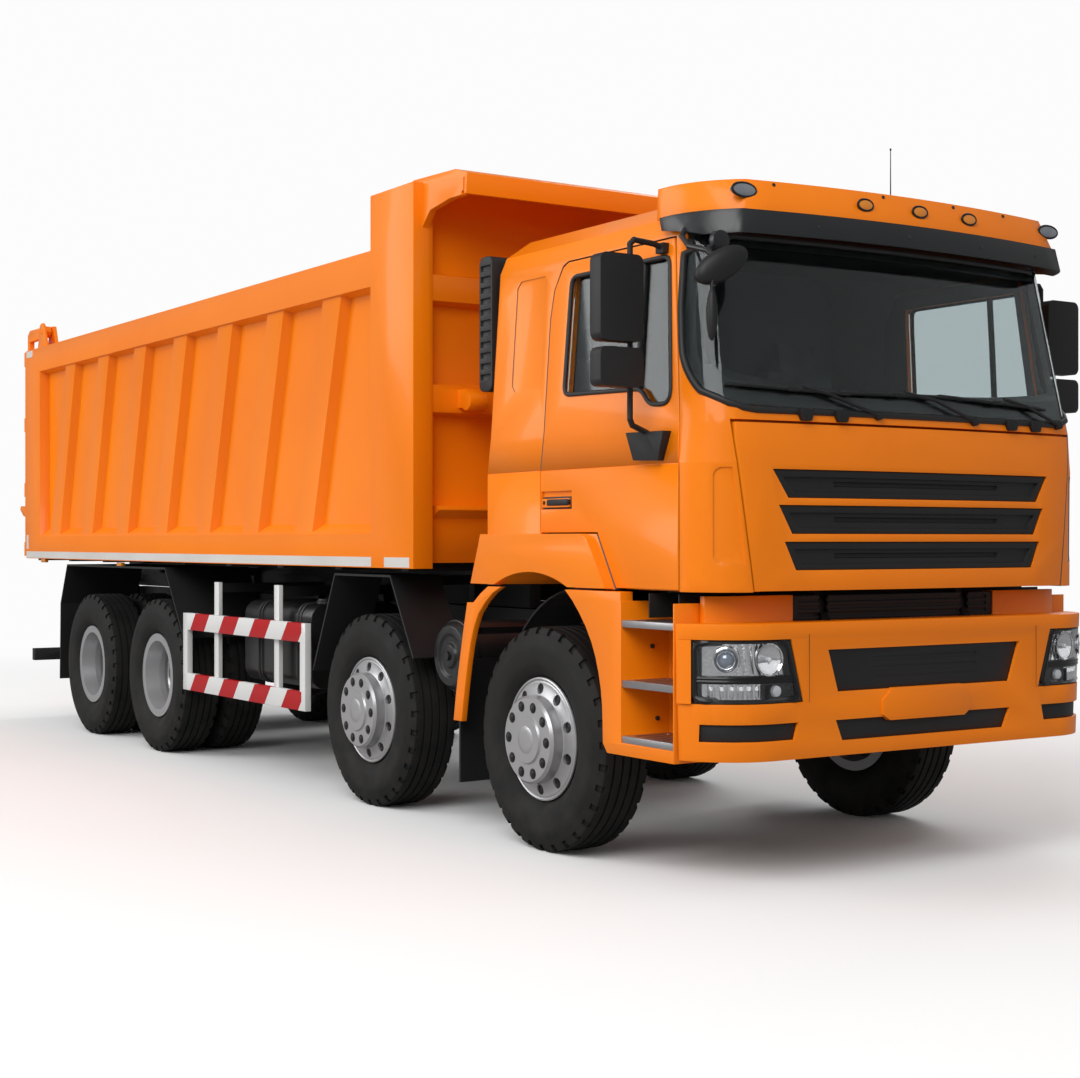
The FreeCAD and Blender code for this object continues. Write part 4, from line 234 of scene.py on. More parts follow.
class ShaderGroups:
    """The effects that several finishes share, each built once."""

    def __init__(self) -> None:
        """Build every group."""
        self.grain = self._grain()
        self.dust = self._dust()
        self.bands = self._bands()

    @staticmethod
    def _grain() -> Tree:
        """Return a group of soft patches of shade with a fine grain for the bump.

        Returns:
            The group.
        """
        group, start, end = new_group("Grain", {
            "Place": ("NodeSocketVector", None),
            "Colour": ("NodeSocketColor", (0.5, 0.5, 0.5, 1.0)),
            "Shade": ("NodeSocketColor", (0.4, 0.4, 0.4, 1.0)),
            "Patch scale": ("NodeSocketFloat", 1.5),
            "Grain scale": ("NodeSocketFloat", 300.0),
            "Rough low": ("NodeSocketFloat", 0.3),
            "Rough high": ("NodeSocketFloat", 0.4),
        }, {"Colour": "NodeSocketColor", "Roughness": "NodeSocketFloat", "Height": "NodeSocketFloat"})
        place = start.outputs["Place"]
        patch = noise(group, place, start.outputs["Patch scale"])
        fine = noise(group, place, start.outputs["Grain scale"], 2.0)
        factor = spread(group, patch, 0.35, 0.68, 0.0, 1.0)
        colour = mix_colour(group, factor, start.outputs["Colour"], start.outputs["Shade"])
        rough = spread(group, patch, 0.3, 0.7, start.outputs["Rough low"], start.outputs["Rough high"])
        group.links.new(colour, end.inputs["Colour"])
        group.links.new(rough, end.inputs["Roughness"])
        group.links.new(fine, end.inputs["Height"])
        return group

    @staticmethod
    def _dust() -> Tree:
        """Return a group that greys a colour towards the ground, broken up by noise.

        Returns:
            The group.
        """
        group, start, end = new_group("Road dust", {
            "Place": ("NodeSocketVector", None),
            "Colour": ("NodeSocketColor", (0.5, 0.5, 0.5, 1.0)),
            "Dust": ("NodeSocketColor", (0.25, 0.22, 0.18, 1.0)),
            "Top": ("NodeSocketFloat", 1.2),
            "Amount": ("NodeSocketFloat", 0.2),
        }, {"Colour": "NodeSocketColor", "Mask": "NodeSocketFloat"})
        split = group.nodes.new("ShaderNodeSeparateXYZ")
        group.links.new(start.outputs["Place"], split.inputs[0])
        low = math_node(group, "DIVIDE", split.outputs["Z"], start.outputs["Top"])
        fade = spread(group, low, 0.0, 1.0, 1.0, 0.0)
        speck = spread(group, noise(group, start.outputs["Place"], 9.0, 6.0), 0.35, 0.7, 0.0, 1.0)
        mask = math_node(group, "MULTIPLY", math_node(group, "MULTIPLY", fade, speck),
                         start.outputs["Amount"])
        colour = mix_colour(group, mask, start.outputs["Colour"], start.outputs["Dust"])
        group.links.new(colour, end.inputs["Colour"])
        group.links.new(mask, end.inputs["Mask"])
        return group

    @staticmethod
    def _bands() -> Tree:
        """Return a group of slanted bands in two colours.

        Returns:
            The group.
        """
        group, start, end = new_group("Slanted bands", {
            "Place": ("NodeSocketVector", None),
            "First": ("NodeSocketColor", (0.6, 0.02, 0.02, 1.0)),
            "Second": ("NodeSocketColor", (0.8, 0.8, 0.8, 1.0)),
            "Slope": ("NodeSocketFloat", 1.0),
            "Pitch": ("NodeSocketFloat", 0.2),
            "Shift": ("NodeSocketFloat", 0.0),
        }, {"Colour": "NodeSocketColor"})
        split = group.nodes.new("ShaderNodeSeparateXYZ")
        group.links.new(start.outputs["Place"], split.inputs[0])
        lean = math_node(group, "MULTIPLY", split.outputs["Z"], start.outputs["Slope"])
        run = math_node(group, "ADD", split.outputs["X"], lean)
        turns = math_node(group, "DIVIDE", run, start.outputs["Pitch"])
        turns = math_node(group, "FRACT", math_node(group, "ADD", turns, start.outputs["Shift"]))
        factor = math_node(group, "GREATER_THAN", turns, 0.5)
        colour = mix_colour(group, factor, start.outputs["First"], start.outputs["Second"])
        group.links.new(colour, end.inputs["Colour"])
        return group


# Finishes

@dataclass(frozen=True)
class Finish:
    """A surface finish with patches of shade, a fine grain and, where wanted, road dust."""

    name: str
    colour: Colour
    shade: Colour
    rough: tuple[float, float] = (0.35, 0.45)
    metallic: float = 0.0
    coat: float = 0.0
    coat_rough: float = 0.03
    gloss: float = 0.5
    patch_scale: float = 1.5
    grain_scale: float = 300.0
    bump: float = 0.05
    bump_depth: float = 0.001
    dust: float = 0.0
    dust_top: float = 1.2
    slope: float = 1.0
    pitch: float = 0.0
    shift: float = 0.0
    second: Colour = (0.8, 0.8, 0.8)

    def build(self, groups: ShaderGroups) -> bpy.types.Material:
        """Return the finish as a material.

        Args:
            groups: The shared shader groups.

        Returns:
            The new material.
        """
        material = bpy.data.materials.new(self.name)
        material.use_nodes = True
        tree = material.node_tree
        shader = tree.nodes["Principled BSDF"]
        for key, value in (("Metallic", self.metallic), ("Specular IOR Level", self.gloss),
                           ("Coat Weight", self.coat), ("Coat Roughness", self.coat_rough)):
            shader.inputs[key].default_value = value
        place = tree.nodes.new("ShaderNodeTexCoord").outputs["Object"]
        first, shade = (*self.colour, 1.0), (*self.shade, 1.0)
        if self.pitch:
            bands = use_group(tree, groups.bands, place, {
                "First": first, "Second": (*self.second, 1.0), "Slope": self.slope, "Pitch": self.pitch,
                "Shift": self.shift,
            })
            first = shade = bands.outputs["Colour"]
        grain = use_group(tree, groups.grain, place, {
            "Colour": first, "Shade": shade, "Patch scale": self.patch_scale,
            "Grain scale": self.grain_scale, "Rough low": self.rough[0], "Rough high": self.rough[1],
        })
        colour = grain.outputs["Colour"]
        if self.dust:
            dust = use_group(tree, groups.dust, place, {
                "Colour": colour, "Amount": self.dust, "Top": self.dust_top,
            })
            colour = dust.outputs["Colour"]
        tree.links.new(colour, shader.inputs["Base Color"])
        tree.links.new(grain.outputs["Roughness"], shader.inputs["Roughness"])
        bump = tree.nodes.new("ShaderNodeBump")
        bump.inputs["Strength"].default_value = self.bump
        bump.inputs["Distance"].default_value = self.bump_depth
        tree.links.new(grain.outputs["Height"], bump.inputs["Height"])
        tree.links.new(bump.outputs["Normal"], shader.inputs["Normal"])
        return material


@dataclass(frozen=True)
class Glass:
    """Clear or tinted glass."""

    name: str
    colour: Colour
    rough: float = 0.01
    ior: float = 1.45

    def build(self, groups: ShaderGroups) -> bpy.types.Material:
        """Return the glass as a material, with a faint change of roughness over it.

        Args:
            groups: The shared shader groups.

        Returns:
            The new material.
        """
        material = bpy.data.materials.new(self.name)
        material.use_nodes = True
        tree = material.node_tree
        shader = tree.nodes["Principled BSDF"]
        shader.inputs["Base Color"].default_value = (*self.colour, 1.0)
        shader.inputs["Transmission Weight"].default_value = 1.0
        shader.inputs["IOR"].default_value = self.ior
        place = tree.nodes.new("ShaderNodeTexCoord").outputs["Object"]
        grain = use_group(tree, groups.grain, place, {
            "Patch scale": 3.0, "Rough low": self.rough, "Rough high": self.rough + 0.02,
        })
        tree.links.new(grain.outputs["Roughness"], shader.inputs["Roughness"])
        return material


ORANGE = Finish("orange_paint", (0.97, 0.232, 0.002), (0.92, 0.208, 0.002), (0.36, 0.46), coat=0.22,
                coat_rough=0.12, gloss=0.20, patch_scale=0.9, grain_scale=900.0, bump=0.02,
                bump_depth=0.0005)
FRAME_BLACK = Finish("frame_black", (0.009, 0.009, 0.010), (0.014, 0.0135, 0.013), (0.45, 0.62), coat=0.1,
                     coat_rough=0.2, grain_scale=240.0, bump=0.08, gloss=0.3, dust=0.04)
CAST_GREY = Finish("cast_grey", (0.12, 0.12, 0.12), (0.08, 0.08, 0.08), (0.55, 0.75), metallic=0.6,
                   grain_scale=140.0, bump=0.3, dust=0.2)
CORE_GREY = Finish("core_grey", (0.10, 0.10, 0.10), (0.07, 0.07, 0.07), (0.5, 0.7), metallic=0.5,
                   grain_scale=400.0, bump=0.5, dust=0.1)
SPRING_STEEL = Finish("spring_steel", (0.022, 0.022, 0.024), (0.045, 0.040, 0.035), (0.45, 0.65),
                      grain_scale=200.0, bump=0.1, dust=0.15)
TANK_BLACK = Finish("tank_black", (0.010, 0.010, 0.011), (0.014, 0.014, 0.014), (0.32, 0.45), coat=0.2,
                    coat_rough=0.15, grain_scale=500.0, bump=0.03, gloss=0.35, dust=0.03)
GUARD_WHITE = Finish("guard_white", (0.78, 0.78, 0.77), (0.70, 0.70, 0.69), (0.35, 0.45), coat=0.5,
                     coat_rough=0.08, grain_scale=400.0, bump=0.03)
PLASTIC = Finish("black_plastic", (0.011, 0.011, 0.012), (0.015, 0.015, 0.016), (0.45, 0.58), gloss=0.4,
                 grain_scale=700.0, bump=0.12)
TREAD_ALLOY = Finish("tread_alloy", (0.55, 0.55, 0.56), (0.42, 0.42, 0.43), (0.30, 0.45), metallic=1.0,
                     grain_scale=350.0, bump=0.08)
AMBER = Finish("lamp_amber", (0.85, 0.28, 0.01), (0.75, 0.22, 0.01), (0.12, 0.18), coat=1.0, patch_scale=8.0,
               grain_scale=180.0, bump=0.15)
VISOR = Finish("dark_visor", (0.010, 0.011, 0.013), (0.014, 0.015, 0.017), (0.34, 0.42), coat=0.15,
               coat_rough=0.25, bump=0.01)
SEAT_CLOTH = Finish("seat_cloth", (0.10, 0.10, 0.105), (0.14, 0.14, 0.145), (0.80, 0.92), patch_scale=6.0,
                    grain_scale=420.0, bump=0.5)
DASH = Finish("dash_grey", (0.045, 0.045, 0.048), (0.055, 0.055, 0.057), (0.60, 0.72), grain_scale=520.0,
              bump=0.2)
HOIST_PAINT = Finish("hoist_paint", (0.022, 0.022, 0.024), (0.03, 0.03, 0.03), (0.3, 0.45), coat=0.3,
                     coat_rough=0.1)
CHROME = Finish("hoist_chrome", (0.72, 0.72, 0.74), (0.66, 0.66, 0.68), (0.08, 0.16), metallic=1.0,
                grain_scale=500.0, bump=0.01)
RUBBER = Finish("tyre_rubber", (0.0085, 0.0085, 0.0085), (0.013, 0.0125, 0.012), (0.62, 0.80),
                patch_scale=5.0, gloss=0.3, grain_scale=260.0, bump=0.25, dust=0.06)
WHEEL_SILVER = Finish("wheel_silver", (0.50, 0.50, 0.51), (0.43, 0.43, 0.44), (0.30, 0.42), metallic=0.6,
                      coat=0.4, coat_rough=0.12, grain_scale=420.0, bump=0.04)
GUARD_BANDS = Finish("guard_bands", (0.46, 0.004, 0.007), (0.70, 0.70, 0.69), (0.35, 0.45), coat=0.1,
                     gloss=0.2, coat_rough=0.10, grain_scale=400.0, bump=0.03, slope=-0.82, pitch=0.49,
                     shift=0.388, second=(0.74, 0.74, 0.73))
LOW_BANDS = replace(GUARD_BANDS, name="low_bands", shift=0.692)
STRIP_WHITE = Finish("strip_white", (0.70, 0.68, 0.65), (0.62, 0.60, 0.57), (0.30, 0.42), grain_scale=500.0,
                     bump=0.15)
NUT_STEEL = Finish("nut_steel", (0.055, 0.055, 0.055), (0.035, 0.035, 0.035), (0.40, 0.55), metallic=0.5,
                   grain_scale=300.0, bump=0.08)
SEAL_RUBBER = Finish("seal_rubber", (0.012, 0.012, 0.013), (0.018, 0.018, 0.018), (0.45, 0.6),
                     grain_scale=600.0, bump=0.06)
LINING = Finish("lining_grey", (0.13, 0.13, 0.135), (0.15, 0.15, 0.155), (0.6, 0.75), grain_scale=300.0,
                bump=0.15)
BEZEL = Finish("bezel_black", (0.006, 0.006, 0.007), (0.009, 0.009, 0.010), (0.25, 0.35), coat=0.15,
               gloss=0.3)
REFLECTOR = Finish("reflector_chrome", (0.80, 0.80, 0.81), (0.74, 0.74, 0.75), (0.06, 0.14), metallic=1.0,
                   grain_scale=90.0, bump=0.25, bump_depth=0.002)
LENS_BLUE = Finish("lens_blue", (0.25, 0.29, 0.34), (0.20, 0.24, 0.30), (0.04, 0.08), metallic=0.4, coat=1.0)
BULB = Finish("bulb_white", (0.75, 0.76, 0.78), (0.68, 0.69, 0.72), (0.1, 0.2), coat=0.8)
LAMP_RED = Finish("lamp_red", (0.45, 0.008, 0.008), (0.36, 0.006, 0.006), (0.12, 0.18), coat=1.0,
                  patch_scale=8.0, grain_scale=160.0, bump=0.15)
MARKER_GREY = Finish("marker_grey", (0.22, 0.24, 0.27), (0.30, 0.32, 0.35), (0.08, 0.14), metallic=0.3,
                     coat=1.0, patch_scale=12.0, grain_scale=150.0, bump=0.2)
TINTED = Glass("tinted_glass", (0.62, 0.68, 0.69), ior=1.32)
CLEAR = Glass("lamp_clear", (0.96, 0.97, 0.98))


class Palette:
    """Every finish as a material, by its record slot or its own name."""

    def __init__(self) -> None:
        """Build the shared groups and the materials."""
        self.groups = ShaderGroups()
        self.items: dict[str, bpy.types.Material] = {}
        for finish in (ORANGE, FRAME_BLACK, CAST_GREY, CORE_GREY, SPRING_STEEL, TANK_BLACK, GUARD_WHITE,
                       PLASTIC, TREAD_ALLOY, AMBER, VISOR, SEAT_CLOTH, DASH, HOIST_PAINT, CHROME, RUBBER,
                       WHEEL_SILVER, GUARD_BANDS, LOW_BANDS, STRIP_WHITE, NUT_STEEL, SEAL_RUBBER, LINING,
                       BEZEL, REFLECTOR, LENS_BLUE, BULB, LAMP_RED, MARKER_GREY, TINTED, CLEAR):
            self.items[finish.name] = finish.build(self.groups)

    def __getitem__(self, name: str) -> bpy.types.Material:
        """Return the material of that name."""
        return self.items[name]


# Studio

@dataclass
class Studio:
    """Pale floor, white surround, soft lamps and the photograph's camera."""

    eye: Point = (10.6226, -5.9160, 1.5241)
    yaw: float = 0.57946
    lens: float = 59.11
    floor_size: float = 160.0
    white: float = 0.975
    ambient: float = 0.55
    mirrored: float = 0.30
    bounce: float = 0.38
    pale: float = 0.95
    fade: tuple[float, float] = (5.5, 13.0)
    aim: Point = (0.0, 0.0, 1.4)
    lamps: tuple[tuple[str, Point, float, float], ...] = (
        ("key", (9.0, -9.0, 9.0), 8.0, 930.0),
        ("fill", (-6.0, -12.0, 7.0), 9.0, 800.0),
        ("back", (-4.0, 10.0, 9.0), 8.0, 600.0),
    )

    def build(self) -> None:
        """Make the camera, the world, the lamps and the floor."""
        bpy.context.scene.view_settings.view_transform = "Standard"
        self._camera()
        self._world()
        self._lamps()
        self._floor()

    def _camera(self) -> None:
        """Place the camera at the eye, level and turned by the yaw."""
        data = bpy.data.cameras.new("camera")
        data.lens = self.lens
        data.sensor_width = 36.0
        data.shift_y = 0.0012
        data.clip_end = 500.0
        camera = bpy.data.objects.new("camera", data)
        bpy.context.scene.collection.objects.link(camera)
        forward = Vector((-math.cos(self.yaw), math.sin(self.yaw), 0.0))
        camera.location = self.eye
        camera.rotation_euler = forward.to_track_quat("-Z", "Y").to_euler()
        bpy.context.scene.camera = camera

    def _world(self) -> None:
        """Light the scene evenly and show white behind the truck."""
        world = bpy.data.worlds.new("studio")
        bpy.context.scene.world = world
        world.use_nodes = True
        tree = world.node_tree
        tree.nodes.clear()
        path = tree.nodes.new("ShaderNodeLightPath")
        seen = math_node(tree, "MAXIMUM", path.outputs["Is Camera Ray"], path.outputs["Is Transmission Ray"])
        dim = spread(tree, path.outputs["Is Glossy Ray"], 0.0, 1.0, self.ambient, self.mirrored)
        strength = spread(tree, seen, 0.0, 1.0, dim, self.white)
        back = tree.nodes.new("ShaderNodeBackground")
        back.inputs["Color"].default_value = (1.0, 1.0, 1.0, 1.0)
        tree.links.new(strength, back.inputs["Strength"])
        out = tree.nodes.new("ShaderNodeOutputWorld")
        tree.links.new(back.outputs[0], out.inputs["Surface"])

    def _lamps(self) -> None:
        """Hang the broad lamps and turn each one to the truck."""
        for name, place, size, power in self.lamps:
            data = bpy.data.lights.new(name, "AREA")
            data.size = size
            data.energy = power
            lamp = bpy.data.objects.new(name, data)
            bpy.context.scene.collection.objects.link(lamp)
            lamp.location = place
            aim = Vector(self.aim) - Vector(place)
            lamp.rotation_euler = aim.to_track_quat("-Z", "Y").to_euler()

    def _floor(self) -> None:
        """Lay the pale floor."""
        bpy.ops.mesh.primitive_plane_add(size=self.floor_size)
        floor = bpy.context.object
        floor.name = "floor"
        material = bpy.data.materials.new("pale_floor")
        material.use_nodes = True
        tree = material.node_tree
        shader = tree.nodes["Principled BSDF"]
        path = tree.nodes.new("ShaderNodeLightPath")
        dark = (self.bounce, self.bounce, self.bounce, 1.0)
        pale = (self.pale, self.pale, self.pale, 1.0)
        place = tree.nodes.new("ShaderNodeTexCoord").outputs["Object"]
        reach = tree.nodes.new("ShaderNodeVectorMath")
        reach.operation = "LENGTH"
        tree.links.new(place, reach.inputs[0])
        far = spread(tree, reach.outputs["Value"], *self.fade, 0.0, 1.0)
        far = math_node(tree, "MULTIPLY", far, path.outputs["Is Camera Ray"])
        near = mix_colour(tree, path.outputs["Is Camera Ray"], dark, pale)
        tree.links.new(mix_colour(tree, far, near, (0.0, 0.0, 0.0, 1.0)), shader.inputs["Base Color"])
        shader.inputs["Emission Color"].default_value = (1.0, 1.0, 1.0, 1.0)
        tree.links.new(math_node(tree, "MULTIPLY", far, self.white), shader.inputs["Emission Strength"])
        shader.inputs["Specular IOR Level"].default_value = 0.0
        shader.inputs["Roughness"].default_value = 0.9
        floor.data.materials.append(material)


# Modelling steps

class Bench:
    """Modelling steps that the sub-assemblies share, each made of Blender's own operators."""

    def __init__(self, frame: dict, palette: Palette) -> None:
        """Keep the frame and the palette, and start the count of pieces.

        Args:
            frame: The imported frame.
            palette: The finishes.
        """
        self.frame = frame
        self.palette = palette
        self.count = 0

    @staticmethod
    def pick(*pieces: bpy.types.Object) -> None:
        """Select only these pieces and make the first one active."""
        bpy.ops.object.select_all(action="DESELECT")
        for piece in pieces:
            piece.select_set(True)
        bpy.context.view_layer.objects.active = pieces[0]

    def settle(self, piece: bpy.types.Object) -> bpy.types.Object:
        """Bring a piece's place, turn and size into its mesh.

        Args:
            piece: The piece.

        Returns:
            The piece.
        """
        self.pick(piece)
        bpy.ops.object.transform_apply(location=True, rotation=True, scale=True)
        return piece

    def tidy(self, piece: bpy.types.Object, gap: float = 0.00002) -> bpy.types.Object:
        """Merge doubled points, drop loose ones and turn the faces outwards.

        Args:
            piece: The piece.
            gap: The distance within which points are merged.

        Returns:
            The piece.
        """
        self.pick(piece)
        bpy.ops.object.mode_set(mode="EDIT")
        bpy.ops.mesh.select_all(action="SELECT")
        bpy.ops.mesh.remove_doubles(threshold=gap)
        bpy.ops.mesh.delete_loose()
        bpy.ops.mesh.select_all(action="SELECT")
        bpy.ops.mesh.normals_make_consistent(inside=False)
        bpy.ops.object.mode_set(mode="OBJECT")
        return piece

    def round_edges(self, piece: bpy.types.Object, width: float, segments: int = 2,
                    angle: float = 30.0) -> bpy.types.Object:
        """Round a piece's sharp edges.

        Args:
            piece: The piece.
            width: The width of the rounding in metres.
            segments: The faces across the rounding.
            angle: The least angle of an edge that is rounded, in degrees.

        Returns:
            The piece.
        """
        self.pick(piece)
        bevel = piece.modifiers.new("edges", "BEVEL")
        bevel.width = width
        bevel.segments = segments
        bevel.limit_method = "ANGLE"
        bevel.angle_limit = math.radians(angle)
        bpy.ops.object.modifier_apply(modifier=bevel.name)
        return piece

    def block(self, name: str, low: Point, high: Point, rounding: float = 0.003,
              segments: int = 2) -> bpy.types.Object:
        """Add a block with rounded edges between two corners.

        Args:
            name: The piece's name.
            low: The lowest corner.
            high: The highest corner.
            rounding: The width of the rounded edges.
            segments: The faces across the rounding.

        Returns:
            The block.
        """
        bpy.ops.object.select_all(action="DESELECT")
        middle = [(a + b) / 2 for a, b in zip(low, high)]
        bpy.ops.mesh.primitive_cube_add(size=1.0, location=middle)
        piece = bpy.context.object
        piece.name = name
        piece.scale = [b - a for a, b in zip(low, high)]
        self.settle(piece)
        return self.round_edges(piece, rounding, segments)

    def drum(self, name: str, start: Point, end: Point, radius: float, sides: int = 24,
             rounding: float = 0.002, top: float = 0.0) -> bpy.types.Object:
        """Add a round or many-sided drum between two points.

        Args:
            name: The piece's name.
            start: The middle of one end.
            end: The middle of the other end.
            radius: The radius at the start.
            sides: The number of sides.
            rounding: The width of the rounded rims.
            top: The radius at the end, or nought for the same radius.

        Returns:
            The drum.
        """
        bpy.ops.object.select_all(action="DESELECT")
        way = Vector(end) - Vector(start)
        bpy.ops.mesh.primitive_cone_add(vertices=sides, radius1=radius, radius2=top or radius,
                                        depth=way.length, location=(Vector(start) + Vector(end)) / 2,
                                        rotation=way.to_track_quat("Z", "Y").to_euler())
        piece = bpy.context.object
        piece.name = name
        self.settle(piece)
        return self.round_edges(piece, rounding, 2, 50.0)

    def plate(self, name: str, outline: list[Point], thick: Point, rounding: float = 0.002,
              segments: int = 2) -> bpy.types.Object:
        """Add a flat plate from its outline.

        Args:
            name: The piece's name.
            outline: The outline's corners in order.
            thick: The vector from the outline to the plate's other face.
            rounding: The width of the rounded edges.
            segments: The faces across the rounding.

        Returns:
            The plate.
        """
        bpy.ops.object.select_all(action="DESELECT")
        bpy.ops.mesh.primitive_circle_add(vertices=len(outline), fill_type="NGON")
        piece = bpy.context.object
        piece.name = name
        for vertex, corner in zip(piece.data.vertices, outline):
            vertex.co = corner
        bpy.ops.object.mode_set(mode="EDIT")
        bpy.ops.mesh.select_all(action="SELECT")
        bpy.ops.mesh.extrude_region_move(TRANSFORM_OT_translate={"value": thick})
        bpy.ops.mesh.select_all(action="SELECT")
        bpy.ops.mesh.normals_make_consistent(inside=False)
        bpy.ops.object.mode_set(mode="OBJECT")
        if rounding:
            self.round_edges(piece, rounding, segments)
        return piece

    def turned(self, name: str, profile: Outline, centre: Point, steps: int = 48,
               axis: Point = (0.0, 1.0, 0.0), closed: bool = True) -> bpy.types.Object:
        """Spin a profile round a line.

        Args:
            name: The piece's name.
            profile: Pairs of the radius and the place along the line.
            centre: A point on the line.
            steps: The steps of the full turn.
            axis: The line's direction.
            closed: Whether the profile's last point joins the first.

        Returns:
            The turned piece.
        """
        along = Vector(axis).normalized()
        out = along.orthogonal().normalized()
        origin = Vector(centre)
        bpy.ops.object.select_all(action="DESELECT")
        bpy.ops.mesh.primitive_circle_add(vertices=len(profile), fill_type="NOTHING")
        piece = bpy.context.object
        piece.name = name
        for vertex, (radius, place) in zip(piece.data.vertices, profile):
            vertex.co = origin + out * radius + along * place
        bpy.ops.object.transform_apply(location=True, rotation=True, scale=True)
        bpy.ops.object.mode_set(mode="EDIT")
        if not closed:
            bpy.ops.mesh.select_all(action="DESELECT")
            bpy.ops.object.mode_set(mode="OBJECT")
            last = len(profile) - 1
            for edge in piece.data.edges:
                edge.select = set(edge.vertices) == {0, last}
            bpy.ops.object.mode_set(mode="EDIT")
            bpy.ops.mesh.select_mode(type="EDGE")
            bpy.ops.mesh.delete(type="EDGE_FACE")
            bpy.ops.mesh.select_mode(type="VERT")
        bpy.ops.mesh.select_all(action="SELECT")
        bpy.ops.mesh.spin(steps=steps, angle=2 * math.pi, center=origin, axis=along)
        bpy.ops.object.mode_set(mode="OBJECT")
        return self.tidy(piece)

    def tube(self, name: str, path: list[Point], radius: float, closed: bool = False,
             sides: int = 3) -> bpy.types.Object:
        """Add a round rod or rubber seal along a path.

        Args:
            name: The piece's name.
            path: The points that it follows.
            radius: Its radius.
            closed: Whether the path returns to its start.
            sides: Blender's bevel resolution of the round section.

        Returns:
            The rod as a mesh.
        """
        curve = bpy.data.curves.new(name, "CURVE")
        curve.dimensions = "3D"
        curve.bevel_depth = radius
        curve.bevel_resolution = sides
        curve.use_fill_caps = not closed
        line = curve.splines.new("POLY")
        line.points.add(len(path) - 1)
        for point, place in zip(line.points, path):
            point.co = (*place, 1.0)
        line.use_cyclic_u = closed
        piece = bpy.data.objects.new(name, curve)
        bpy.context.scene.collection.objects.link(piece)
        self.pick(piece)
        bpy.ops.object.convert(target="MESH")
        piece = bpy.context.object
        piece.name = name
        return self.tidy(piece)

    def join(self, name: str, pieces: list[bpy.types.Object]) -> bpy.types.Object:
        """Join pieces into one under a name.

        Args:
            name: The joined piece's name.
            pieces: The pieces.

        Returns:
            The joined piece.
        """
        self.pick(*pieces)
        bpy.ops.object.join()
        piece = bpy.context.object
        piece.name = name
        return piece

    def copy(self, piece: bpy.types.Object, name: str, move: Point = (0.0, 0.0, 0.0),
             mirrored: bool = False) -> bpy.types.Object:
        """Copy a piece with its own mesh.

        Args:
            piece: The piece to copy.
            name: The copy's name.
            move: How far the copy is moved.
            mirrored: Whether the copy changes to the other side of the truck.

        Returns:
            The copy.
        """
        self.pick(piece)
        bpy.ops.object.duplicate()
        twin = bpy.context.object
        twin.name = name
        twin.location = move
        if mirrored:
            twin.scale = (1.0, -1.0, 1.0)
        self.settle(twin)
        if mirrored:
            self.tidy(twin)
        return twin

    def carried(self, node: str, name: str, rounding: float = 0.0, angle: float = 32.0) -> bpy.types.Object:
        """Copy a carried-over solid as one clean mesh with softened edges.

        Args:
            node: The solid's node.
            name: The copy's name.
            rounding: The width of the softened edges, or nought for none.
            angle: The least angle of an edge that is softened, in degrees.

        Returns:
            The copy.
        """
        piece = bpy.data.objects.new(name, self.frame["nodes"][node].data.copy())
        bpy.context.scene.collection.objects.link(piece)
        self.pick(piece)
        bpy.ops.object.mode_set(mode="EDIT")
        bpy.ops.mesh.select_all(action="SELECT")
        bpy.ops.mesh.remove_doubles(threshold=0.00004)
        bpy.ops.mesh.dissolve_limited(angle_limit=math.radians(0.6))
        bpy.ops.object.mode_set(mode="OBJECT")
        if rounding:
            self.round_edges(piece, rounding, 2, angle)
        return piece

    def split(self, piece: bpy.types.Object, place: Point, normal: Point) -> bpy.types.Object:
        """Cut all the faces of a piece along a plane without parting them.

        Args:
            piece: The piece.
            place: A point on the plane.
            normal: The plane's normal.

        Returns:
            The piece.
        """
        self.pick(piece)
        bpy.ops.object.mode_set(mode="EDIT")
        bpy.ops.mesh.select_all(action="SELECT")
        bpy.ops.mesh.bisect(plane_co=place, plane_no=normal)
        bpy.ops.object.mode_set(mode="OBJECT")
        return piece

    def mark(self, piece: bpy.types.Object, wanted: FaceTest) -> None:
        """Select only the faces that a test of middle and normal picks, ready for edit mode.

        Args:
            piece: The piece.
            wanted: A test of a face's middle and normal.
        """
        self.pick(piece)
        bpy.ops.object.mode_set(mode="EDIT")
        bpy.ops.mesh.select_mode(type="FACE")
        bpy.ops.mesh.select_all(action="DESELECT")
        bpy.ops.object.mode_set(mode="OBJECT")
        for face in piece.data.polygons:
            face.select = wanted(face.center, face.normal)

    def erase(self, piece: bpy.types.Object, wanted: FaceTest) -> None:
        """Delete the faces that a test of middle and normal picks.

        Args:
            piece: The piece.
            wanted: A test of a face's middle and normal.
        """
        self.mark(piece, wanted)
        bpy.ops.object.mode_set(mode="EDIT")
        bpy.ops.mesh.delete(type="FACE")
        bpy.ops.mesh.select_mode(type="VERT")
        bpy.ops.object.mode_set(mode="OBJECT")

    def groove(self, piece: bpy.types.Object, low: float, high: float, depth: float, side: int,
               wanted: FaceTest) -> None:
        """Press a level groove into a panel's outer face.

        Args:
            piece: The panel.
            low: The groove's lower edge.
            high: The groove's upper edge.
            depth: The groove's depth.
            side: The sign of the panel's side.
            wanted: A test of a face's middle and normal.
        """
        for height in (low, high):
            self.split(piece, (0.0, 0.0, height), (0.0, 0.0, 1.0))
        self.mark(piece, lambda place, normal: low < place.z < high and normal.y * side > 0.8
                  and wanted(place, normal))
        bpy.ops.object.mode_set(mode="EDIT")
        bpy.ops.mesh.extrude_region_move(TRANSFORM_OT_translate={"value": (0.0, -side * depth, 0.0)})
        bpy.ops.mesh.select_mode(type="VERT")
        bpy.ops.object.mode_set(mode="OBJECT")

